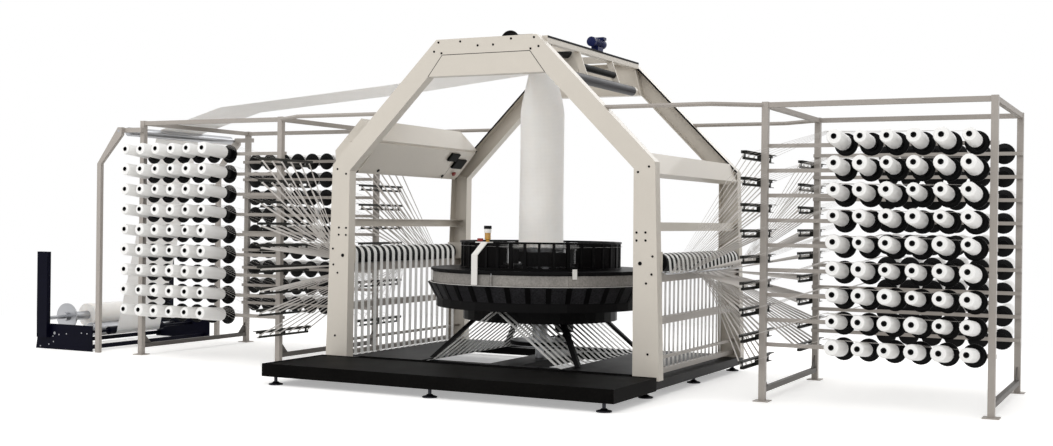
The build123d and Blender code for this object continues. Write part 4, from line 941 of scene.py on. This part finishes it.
@dataclass(frozen=True)
class WeavingRing:
    """Reed wires, the lip of the dish and the shed's tapes."""

    facets: int = 36
    wires: int = 9
    reed_radius: float = 0.715
    reed_z: tuple[float, float] = (0.966, 1.178)
    rim: tuple[tuple[float, float], tuple[float, float]] = ((1.008, 0.012), (0.8203, 0.8244))
    shed_outer: tuple[float, float] = (0.742, 1.1535)
    shed_inner: tuple[float, float] = (0.2075, 1.1225)

    def build(self, maker: Maker) -> None:
        """Make the wires, the dish's lip and the shed.

        Args:
            maker: makes objects.
        """
        step = 2 * np.pi / self.facets
        share = (np.arange(self.wires) + 0.5) / self.wires * 0.76 - 0.38
        angle = ((np.arange(self.facets)[:, None] + 1.0 + share[None]) * step).ravel()
        spot = self.reed_radius * np.stack([np.cos(angle), np.sin(angle)], 1)
        ends = [np.concatenate([spot, np.full((len(spot), 1), z)], 1) for z in self.reed_z]
        across = np.stack([-np.sin(angle), np.cos(angle), np.zeros_like(angle)], 1) * 0.0020
        wires = strips(np.stack(ends, 1), across[:, None], 0.010)
        maker.piece("reed_wires", wires, REED_WIRE, "steel", smooth_deg=20)
        (rim_r, rim_wide), (rim_z, rim_top) = self.rim
        lip = lathe(np.zeros(3), Z_AXIS,
                    np.array([[rim_r - rim_wide, rim_r, rim_r, rim_r - rim_wide, rim_r - rim_wide]]),
                    np.array([[rim_z, rim_z, rim_top, rim_top, rim_z]]), self.facets * 2)
        maker.piece("dish_lip", lip, PALE_ENAMEL, "cream_paint", smooth_deg=30)
        shed_share = (np.arange(6) + 0.5) / 6 * 0.70 - 0.35
        angle = ((np.arange(self.facets)[:, None] + 1.0 + shed_share[None]) * step).ravel()
        unit = np.stack([np.cos(angle), np.sin(angle)], 1)
        points = [np.concatenate([unit * r, np.full((len(unit), 1), z)], 1)
                  for r, z in (self.shed_inner, self.shed_outer)]
        across = np.stack([-np.sin(angle), np.cos(angle), np.zeros_like(angle)], 1)
        half = np.stack([across * 0.0026, across * 0.0045], 1)
        shed = strips(np.stack(points, 1), half, 0.0010)
        maker.piece("shed_tapes", shed, FLAT_TAPE, "white_tape", replaces=["warp_shed"])


@dataclass(frozen=True)
class ClothRun:
    """The woven tube, the flat cloth to the winder and the wound roll."""

    tube_radius: float = 0.2045
    lay_flat: float = 0.644
    thick: float = 0.0012
    flat_from_z: float = 2.35

    def roller(self, node: str) -> tuple[float, float]:
        """Centre of a roller in X and Z."""
        low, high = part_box(node)
        return ((low.x + high.x) / 2, (low.z + high.z) / 2)

    def tube(self, maker: Maker) -> None:
        """Make the tube: a circle that eases into a flat line, with soft upright pleats.

        Args:
            maker: makes objects.
        """
        low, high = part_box("cloth_tube")
        rows, columns = 60, 96
        angle = np.arange(columns) * 2 * np.pi / columns
        z = np.linspace(low.z + 0.001, high.z - 0.001, rows)[:, None]
        flat = np.clip((z - self.flat_from_z) / (high.z - self.flat_from_z), 0, 1)
        flat = flat ** 1.4
        turn = (angle % np.pi) / np.pi
        line_y = self.lay_flat / 2 * (1 - np.abs(2 * turn - 1)) * np.where(angle < np.pi, 1, -1)
        rise = (z - low.z) / (high.z - low.z)
        wave = np.sin(7 * angle + 0.6 * np.sin(3 * rise * np.pi))
        pleat = 0.0022 * wave * np.sin(rise * np.pi) * (1 - flat)
        radius = self.tube_radius - 0.006 * np.sin(rise * np.pi) + pleat
        x = radius * np.cos(angle) * (1 - flat) + 0.0011 * np.cos(angle) * flat
        y = radius * np.sin(angle) * (1 - flat) + line_y * flat
        points = np.stack([x, y, np.broadcast_to(z, x.shape)], -1)
        faces = grid_faces(1, rows, columns, True)
        wide = np.linspace(0, 2 * self.lay_flat, columns + 1)
        shape = Shape(points.reshape(-1, 3), faces, grid_places(wide, z[:, 0]))
        piece = maker.piece("woven_tube", shape, WOVEN_TAPE, "cloth", replaces=["cloth_tube"],
                            smooth_deg=180)

    def line(self) -> Array:
        """Middle line of the flat cloth in X and Z, tangent to each roller it passes.

        Round a roller the line is an arc of points a step apart; between rollers it is straight,
        through the sagging points of the long span.

        Returns:
            Points of the line, two numbers each.
        """
        gap = 0.0012
        draw, guide, drum = (self.roller(n) for n in ("draw_roller", "guide_roller", "winder_drum"))
        stations = [(draw[0] + 0.08 + gap, 2.916, 0.0), (*draw, 0.08 + gap), (-0.1945, 2.8, -(0.03 + gap)),
                    (-1.44, 2.64, 0.0), (-2.48, 2.56, 0.0), (-3.47, 2.485, 0.0), (*guide, 0.045 + gap),
                    (-4.86, 0.17, -(0.04 + gap)), (*drum, -(0.07 + gap))]
        points = [np.array([stations[0][:2]])]
        heading = self.tangent(stations[0], stations[1])
        for index in range(1, len(stations)):
            x, z, radius = stations[index]
            last = index + 1 == len(stations)
            after = None if last else self.tangent(stations[index], stations[index + 1])
            if radius == 0:
                points.append(np.array([[x, z]]))
                heading = after
                continue
            side = -np.pi / 2 if radius > 0 else np.pi / 2
            enter = heading + side
            leave = math.radians(148) if last else after + side
            sweep = (leave - enter) % (2 * np.pi) if radius > 0 else -((enter - leave) % (2 * np.pi))
            angle = enter + sweep * np.linspace(0, 1, max(3, int(abs(sweep) / 0.12)))
            points.append(np.stack([x + abs(radius) * np.cos(angle), z + abs(radius) * np.sin(angle)], 1))
            heading = after
        return np.concatenate(points)

    @staticmethod
    def tangent(first: tuple[float, float, float], second: tuple[float, float, float]) -> float:
        """Travel angle of a line between two rollers with signed radii."""
        dx, dz = second[0] - first[0], second[1] - first[1]
        return math.atan2(dz, dx) + math.asin((first[2] - second[2]) / math.hypot(dx, dz))

    def web(self, maker: Maker) -> None:
        """Make the flat cloth, a strip of even width along its line.

        Args:
            maker: makes objects.
        """
        line = self.line()
        gaps = np.linalg.norm(np.diff(line, axis=0), axis=1)
        fine = [line[:1]]
        for k, gap in enumerate(gaps):
            steps = max(1, int(gap / 0.12))
            share = (np.arange(steps) + 1)[:, None] / steps
            fine.append(line[k] + (line[k + 1] - line[k]) * share)
        line = np.concatenate(fine)
        columns = 13
        across = np.linspace(-1, 1, columns) * self.lay_flat / 2
        tangent = np.gradient(line, axis=0)
        normal = np.stack([-tangent[:, 1], tangent[:, 0]], 1)
        normal /= np.linalg.norm(normal, axis=1, keepdims=True)
        sheets = []
        for side in (0.5, -0.5):
            shifted = line + normal * self.thick * side
            sheets.append(np.stack([np.broadcast_to(shifted[:, None, 0], (len(line), columns)),
                                    np.broadcast_to(across[None], (len(line), columns)),
                                    np.broadcast_to(shifted[:, None, 1], (len(line), columns))], -1))
        loop = np.concatenate([sheets[0], sheets[1][:, ::-1]], 1)
        rows, around = loop.shape[:2]
        faces = grid_faces(1, rows, around, True)
        run = np.concatenate([[0], np.cumsum(np.linalg.norm(np.diff(line, axis=0), axis=1))])
        wide = np.concatenate([across, across[::-1], [across[0]]])
        near = np.arange(columns - 1)
        cap = np.stack([near, near + 1, around - 2 - near, around - 1 - near], -1)
        caps = np.concatenate([cap, cap[:, ::-1] + (rows - 1) * around])
        shape = Shape(loop.reshape(-1, 3), np.concatenate([faces, caps]),
                      np.concatenate([grid_places(wide, run), np.zeros((len(caps), 4, 2))]))
        piece = maker.piece("flat_cloth", shape, WOVEN_TAPE, "cloth", replaces=["cloth_web"], smooth_deg=60)

    def roll(self, maker: Maker) -> None:
        """Make the wound roll with turns that stand slightly proud at its ends.

        Args:
            maker: makes objects.
        """
        centre = self.roller("cloth_roll")
        low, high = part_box("cloth_roll")
        radius, core = (high.z - low.z) / 2 - 0.0005, 0.0452
        rings = 14
        ring = np.linspace(radius - 0.004, core, rings)
        proud = 0.002 * np.sin(np.arange(rings) * 2.1)
        span = high.y - low.y
        radii = np.concatenate([ring[::-1], [radius - 0.001, radius, radius, radius - 0.001], ring, [core]])
        heights = np.concatenate([0.003 + proud[::-1], [0.001, 0.004, span - 0.004, span - 0.001],
                                  span - 0.003 + proud, [0.003 + proud[-1]]])
        shape = lathe(np.array([centre[0], low.y, centre[1]]), Y_AXIS, radii[None], heights[None], 56)
        maker.piece("wound_cloth", shape, WOVEN_TAPE, "cloth", "roll", ["cloth_roll"])

    def build(self, maker: Maker) -> None:
        """Make the tube, the web and the roll.

        Args:
            maker: makes objects.
        """
        self.tube(maker)
        self.web(maker)
        self.roll(maker)


@dataclass(frozen=True)
class Fittings:
    """Screws, feet, latches, seams, edgings, the oiler, the handwheel, the motor and the stop button."""

    face_y: float = -1.106
    screw_radius: float = 0.0095
    screw_head: float = 0.005
    leg_screws_px: tuple[tuple[float, float], ...] = (
        (636.5, 232), (645.5, 232), (636.5, 240), (645.5, 240), (652.5, 256), (651.5, 274), (646, 283),
        (647.5, 354), (649, 166), (638, 171.5))
    crown_screws_px: tuple[tuple[float, float], ...] = (
        (493, 44), (511, 38), (530.5, 48), (538.5, 45.5), (534, 36.5))
    big_screw_px: tuple[float, float] = (640, 263)
    latches_px: tuple[tuple[float, float], ...] = ((378, 170), (442, 175.4))
    door_low: tuple[float, float] = (-1.450, 1.793)
    door_high: tuple[float, float] = (-1.200, 2.085)
    door_lift: float = 0.0125
    seam_y: float = 0.634
    edging_y: tuple[float, float] = (-0.851, 0.941)
    slope_length: float = 0.384
    sleeve: tuple[float, float, float, float] = (0.588, 2.610, 0.0445, 0.700)
    arm_roller: tuple[float, float, float, float] = (0.545, 2.725, 0.030, 0.352)
    fold_end: tuple[float, float] = (0.4175, 2.780)
    crown_corner: tuple[float, float] = (0.555, 2.600)
    seam_half: float = 0.0028
    rafter_edge: tuple[tuple[float, float], tuple[float, float]] = ((0.476, 2.913), (1.529, 1.856))
    rafter_inner_y: float = 1.005
    edge_half: float = 0.008
    tie_edge: tuple[float, float] = (0.530, 2.913)
    mast_depth: float = 0.050
    winder_screws_px: tuple[tuple[float, float], ...] = (
        (46, 333), (53, 335.5), (59, 334), (66.5, 333.3), (81.5, 332.6), (87, 333.3), (53.5, 341), (49, 343.5),
        (40.5, 345.2))

    def screws(self, maker: Maker, camera: PhotoCamera) -> None:
        """Make the black screws on all four faces of the portals.

        Args:
            maker: makes objects.
            camera: carries their pixels onto the portal's face.
        """
        plane = ((0, self.face_y, 0), (0, 1, 0))
        spots = [camera.onto(p, *plane) for p in (*self.leg_screws_px, *self.crown_screws_px)]
        origins = np.array([list(s) for s in spots])
        r, h = self.screw_radius, self.screw_head
        radii = np.array([[0, r, r, r * 0.7, r * 0.45, r * 0.4, 0]])
        heights = np.array([[-0.001, -0.001, h * 0.5, h, h, h * 0.5, h * 0.5]])
        small = lathe(origins, -Y_AXIS, radii, heights, 14)
        big_spot = np.array([list(camera.onto(self.big_screw_px, *plane))])
        big = lathe(big_spot, -Y_AXIS, radii * 1.6, heights * 1.4, 16)
        one_side = Shape.join([small, big])
        maker.piece("portal_screws", one_side.with_mirror(0).with_mirror(1), BLACK_ENAMEL, "black_paint")

    def feet(self, maker: Maker) -> None:
        """Make the turned feet: sole, dome, stud and lock nut.

        Args:
            maker: makes objects.
        """
        spots = [(x, y, 0.064) for x in (-1.48, 1.48) for y in (-1.12, 0.0, 1.08)]
        spots += [(0, 0, 0.064)]
        spots += [(x, -1.99, 0.162) for x in (-1.45, 0.03, 1.5)]
        shapes = []
        for x, y, top in spots:
            radii = np.array([[0, 0.058, 0.060, 0.058, 0.030, 0.022, 0.014, 0.014, 0.024, 0.024,
                               0.014, 0.014, 0]])
            heights = np.array([[0, 0, 0.004, 0.010, 0.018, 0.026, 0.028, top - 0.020, top - 0.020,
                                 top - 0.004, top - 0.004, top, top]])
            shapes.append(lathe(np.array([x, y, 0.0]), Z_AXIS, radii, heights, 28))
        maker.piece("turned_feet", Shape.join(shapes), DARK_STEEL, "steel", replaces=["levelling_feet"],
                    smooth_deg=30)

    def oiler(self, maker: Maker) -> None:
        """Make the oiler's brass neck and base, its amber cup and its black cap.

        Args:
            maker: makes objects.
        """
        low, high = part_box("oil_cup")
        centre = np.array([(low.x + high.x) / 2, (low.y + high.y) / 2, low.z])
        neck = lathe(centre, Z_AXIS, np.array([[0, 0.020, 0.020, 0.014, 0.014, 0.026, 0.028, 0.028, 0]]),
                     np.array([[0, 0, 0.006, 0.009, 0.018, 0.022, 0.024, 0.030, 0.030]]), 32)
        maker.piece("oiler_neck", neck, BRASS, "steel", replaces=["oil_cup"])
        cup = lathe(centre, Z_AXIS, np.array([[0, 0.0265, 0.0265, 0]]),
                    np.array([[0.030, 0.030, 0.078, 0.078]]), 32)
        maker.piece("oiler_cup", cup, AMBER_GLASS, "red_plastic")
        collar = lathe(centre, Z_AXIS, np.array([[0, 0.030, 0.031, 0.031, 0.030, 0]]),
                       np.array([[0.078, 0.078, 0.080, 0.110, 0.112, 0.112]]), 32)
        maker.piece("oiler_collar", collar, PALE_ENAMEL, "grey_paint")
        cap = lathe(centre, Z_AXIS, np.array([[0, 0.0335, 0.034, 0.034, 0.031, 0]]),
                    np.array([[0.112, 0.112, 0.115, 0.134, 0.1395, 0.1395]]), 32)
        maker.piece("oiler_cap", cap, BLACK_PLASTIC, "black_plastic")

    def handwheel(self, maker: Maker) -> None:
        """Make the round-rimmed handwheel with its hub and its solid, dished web.

        Args:
            maker: makes objects.
        """
        low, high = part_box("handwheel")
        x, z = (low.x + high.x) / 2, (low.z + high.z) / 2
        radius = (high.x - low.x) / 2
        turn = np.arange(13) * 2 * np.pi / 12
        rim = lathe(np.array([x, -0.5025, z]), Y_AXIS,
                    (radius - 0.0105 + 0.010 * np.cos(turn))[None], (0.012 * np.sin(turn))[None], 48)
        hub = lathe(np.array([x, -0.5150, z]), Y_AXIS,
                    np.array([[0.0153, 0.025, 0.026, 0.026, 0.0153, 0.0153]]),
                    np.array([[0.0, 0.0, 0.002, 0.030, 0.030, 0.0]]), 28)
        web = lathe(np.array([x, -0.5025, z]), Y_AXIS,
                    np.array([[0.024, 0.050, radius - 0.012, radius - 0.012, 0.050, 0.024, 0.024]]),
                    np.array([[0.006, 0.001, -0.003, 0.003, 0.007, 0.012, 0.006]]), 48)
        maker.piece("rimmed_handwheel", Shape.join([rim, hub, web]), BLACK_PLASTIC, "black_paint", "draw",
                    ["handwheel"])

    def takeup_dressing(self, maker: Maker) -> None:
        """Make the rubber sleeve of the take-up's arm tube and the small roller above it.

        Args:
            maker: makes objects.
        """
        for name, (x, z, radius, half), finish in (("arm_tube_sleeve", self.sleeve, SLEEVE_RUBBER),
                                                   ("arm_roller", self.arm_roller, FEED_RUBBER)):
            shape = lathe(np.array([x, -half, z]), Y_AXIS,
                          np.array([[0, radius - 0.003, radius, radius, radius - 0.003, 0]]),
                          np.array([[0, 0, 0.003, 2 * half - 0.003, 2 * half, 2 * half]]), 40)
            maker.piece(name, shape, finish, "black_rubber")

    def seams(self, maker: Maker) -> None:
        """Make the fold and mitres of the crown beams, and dark strips of painted shade on the rafters' and
        ties' edges.

        Args:
            maker: makes objects.
        """
        (fold_x, fold_z), (corner_x, corner_z) = self.fold_end, self.crown_corner
        y = self.face_y - 0.0002
        runs = np.array([[[-fold_x, y, fold_z], [fold_x, y, fold_z]],
                         [[fold_x, y, fold_z], [corner_x, y, corner_z]],
                         [[-fold_x, y, fold_z], [-corner_x, y, corner_z]]])
        along = runs[:, 1] - runs[:, 0]
        square = np.cross(along, [0, 1.0, 0])
        square *= self.seam_half / np.linalg.norm(square, axis=1, keepdims=True)
        lines = strips(runs, square[:, None], 0.0008)
        maker.piece("crown_seams", lines.with_mirror(1), BAR_PLASTIC, "black_paint", smooth_deg=20)
        # The dark strips along the back rafters' inner edges and the crown ties' top edges are painted shade,
        # standing for their shaded channel faces.
        (x0, z0), (x1, z1) = self.rafter_edge
        inner = self.rafter_inner_y
        edge = np.array([[[x0, inner, z0], [x1, inner, z1]]])
        inward = np.array([-(z0 - z1), 0, -(x1 - x0)]) / math.hypot(x1 - x0, z1 - z0)
        rafter = strips(edge + inward * self.edge_half, inward * self.edge_half, 0.002)
        tie_x, tie_z = self.tie_edge
        tie = blocks(np.array([[tie_x - 0.002, -inner, tie_z - 0.018]]),
                     np.array([[tie_x + 0.0015, inner, tie_z]]))
        maker.piece("painted_shade_strips", Shape.join([rafter, tie]).with_mirror(0), FEED_RUBBER, "black_rubber",
                    smooth_deg=20)

    def winder_screws(self, maker: Maker, camera: PhotoCamera) -> None:
        """Make the bright screws on the winder's side plates.

        Args:
            maker: makes objects.
            camera: carries their pixels onto the near plate.
        """
        low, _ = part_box("winder_frame")
        face = low.y + self.mast_depth
        spots = np.array([list(camera.onto(p, (0, face, 0), (0, 1, 0))) for p in self.winder_screws_px])
        heads = lathe(spots, -Y_AXIS, np.array([[0, 0.007, 0.007, 0.005, 0]]),
                      np.array([[0, 0, 0.002, 0.004, 0.004]]), 12)
        maker.piece("winder_screws", heads.with_mirror(1), TURNED_STEEL, "steel")

    def motor(self, maker: Maker) -> None:
        """Make the finned blue motor of the take-up.

        Args:
            maker: makes objects.
        """
        low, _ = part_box("takeup_motor")
        fins = 12
        step = np.arange(fins * 4)
        along = 0.040 + (step // 4) * 0.013 + np.array([0, 0.0, 0.005, 0.005])[step % 4]
        radii = np.array([0.038, 0.044, 0.044, 0.038])[step % 4]
        radii = np.concatenate([[0, 0.036, 0.044, 0.044], radii, [0.044, 0.042, 0]])
        along = np.concatenate([[0, 0, 0.004, 0.036], along, [0.205, 0.2585, 0.2585]])
        body = lathe(np.array([0.5, low.y + 0.0005, 2.985]), Y_AXIS, radii[None], along[None], 36)
        foot = blocks(np.array([[0.467, 0.022, 2.9135]]), np.array([[0.533, 0.138, 2.948]]))
        lid = blocks(np.array([[0.457, 0.122, 3.020]]), np.array([[0.543, 0.188, 3.0445]]))
        maker.piece("finned_motor", Shape.join([body, foot, lid]), MOTOR_ENAMEL, "navy_paint",
                    replaces=["takeup_motor"], smooth_deg=30)

    def door_axes(self) -> tuple[Array, Array, Array]:
        """Find how the control box's cover lies.

        Returns:
            Its low edge point, its slope and its outward normal.
        """
        low = np.array([self.door_low[0], 0, self.door_low[1]])
        slope = np.array([self.door_high[0] - self.door_low[0], 0, self.door_high[1] - self.door_low[1]])
        slope = slope / np.linalg.norm(slope)
        return low, slope, np.array([slope[2], 0, -slope[0]])

    def cover(self, maker: Maker, camera: PhotoCamera) -> None:
        """Make the cover's latches, screens and seam, the box's edging and the stop button.

        Args:
            maker: makes objects.
            camera: carries the latches' pixels onto the cover.
        """
        low, slope, normal = self.door_axes()
        surface = low + normal * self.door_lift
        spots = np.array([list(camera.onto(p, surface, normal)) for p in self.latches_px])
        latch = lathe(spots, normal, np.array([[0, 0.016, 0.017, 0.013, 0]]),
                      np.array([[0, 0, 0.004, 0.009, 0.009]]), 20)
        maker.piece("cover_latches", latch, BLACK_PLASTIC, "black_plastic", "panel")
        screens = []
        for u, v, wide, tall in ((0.548, 0.290, 0.160, 0.090), (0.735, 0.215, 0.190, 0.110)):
            for lift, grow in ((0.0205, 0.0), (0.0215, -0.028)):
                middle = surface + slope * v + np.array([0, u, 0]) + normal * lift
                half = slope * (tall + grow) / 2
                run = np.stack([middle - half, middle + half])
                screens.append(strips(run[None], np.array([0, (wide + grow) / 2, 0]), 0.0016))
        maker.piece("screen_glass", Shape.join(screens), SCREEN_PLASTIC, "dark_panel", "panel", smooth_deg=20)
        seam_line = np.stack([surface + slope * 0.006, surface + slope * 0.238]) + np.array([0, self.seam_y, 0])
        seam = strips(seam_line[None], np.array([0, 0.0022, 0]), 0.0012)
        maker.piece("cover_seam", seam, BLACK_ENAMEL, "black_paint", "panel", smooth_deg=20)
        edges = [np.stack([low, low + slope * self.slope_length]) + np.array([0, y, 0]) + normal * 0.001
                 for y in self.edging_y]
        edging = strips(np.array(edges), np.array([0, 0.007, 0]), 0.003)
        maker.piece("box_edging", edging, FEED_RUBBER, "black_rubber", smooth_deg=20)
        centre = low + slope * 0.090 + np.array([0, 0.770, 0])
        radii = np.array([[0, 0.012, 0.012, 0.018, 0.018, 0.023, 0.024, 0.022, 0.012, 0]])
        heights = np.array([[0.008, 0.008, 0.020, 0.020, 0.026, 0.0265, 0.032, 0.0385, 0.0418, 0.042]])
        button = lathe(centre, normal, radii, heights, 32)
        maker.piece("stop_mushroom", button, RED_PLASTIC, "red_plastic", "stop", ["stop_button"])

    def build(self, maker: Maker, camera: PhotoCamera) -> None:
        """Make every fitting.

        Args:
            maker: makes objects.
            camera: places what is known by its pixel.
        """
        self.screws(maker, camera)
        self.feet(maker)
        self.oiler(maker)
        self.handwheel(maker)
        self.motor(maker)
        self.takeup_dressing(maker)
        self.seams(maker)
        self.winder_screws(maker, camera)
        self.cover(maker, camera)


def main() -> None:
    """Build the stage and the pieces in order, and report each."""
    logging.basicConfig(level=logging.INFO, format="%(message)s")
    maker = Maker()
    camera = PhotoCamera()
    camera.build()
    Studio().build()
    creels = Creels()
    steps = (("paintwork", lambda: Paintwork().build(maker)),
             ("creels", lambda: creels.build(maker)),
             ("warp feed", lambda: WarpFeed().build(maker, creels)),
             ("weaving ring", lambda: WeavingRing().build(maker)),
             ("cloth", lambda: ClothRun().build(maker)),
             ("fittings", lambda: Fittings().build(maker, camera)))
    for name, make in steps:
        make()
        LOG.info("made the %s", name)


if __name__ == "__main__":
    main()
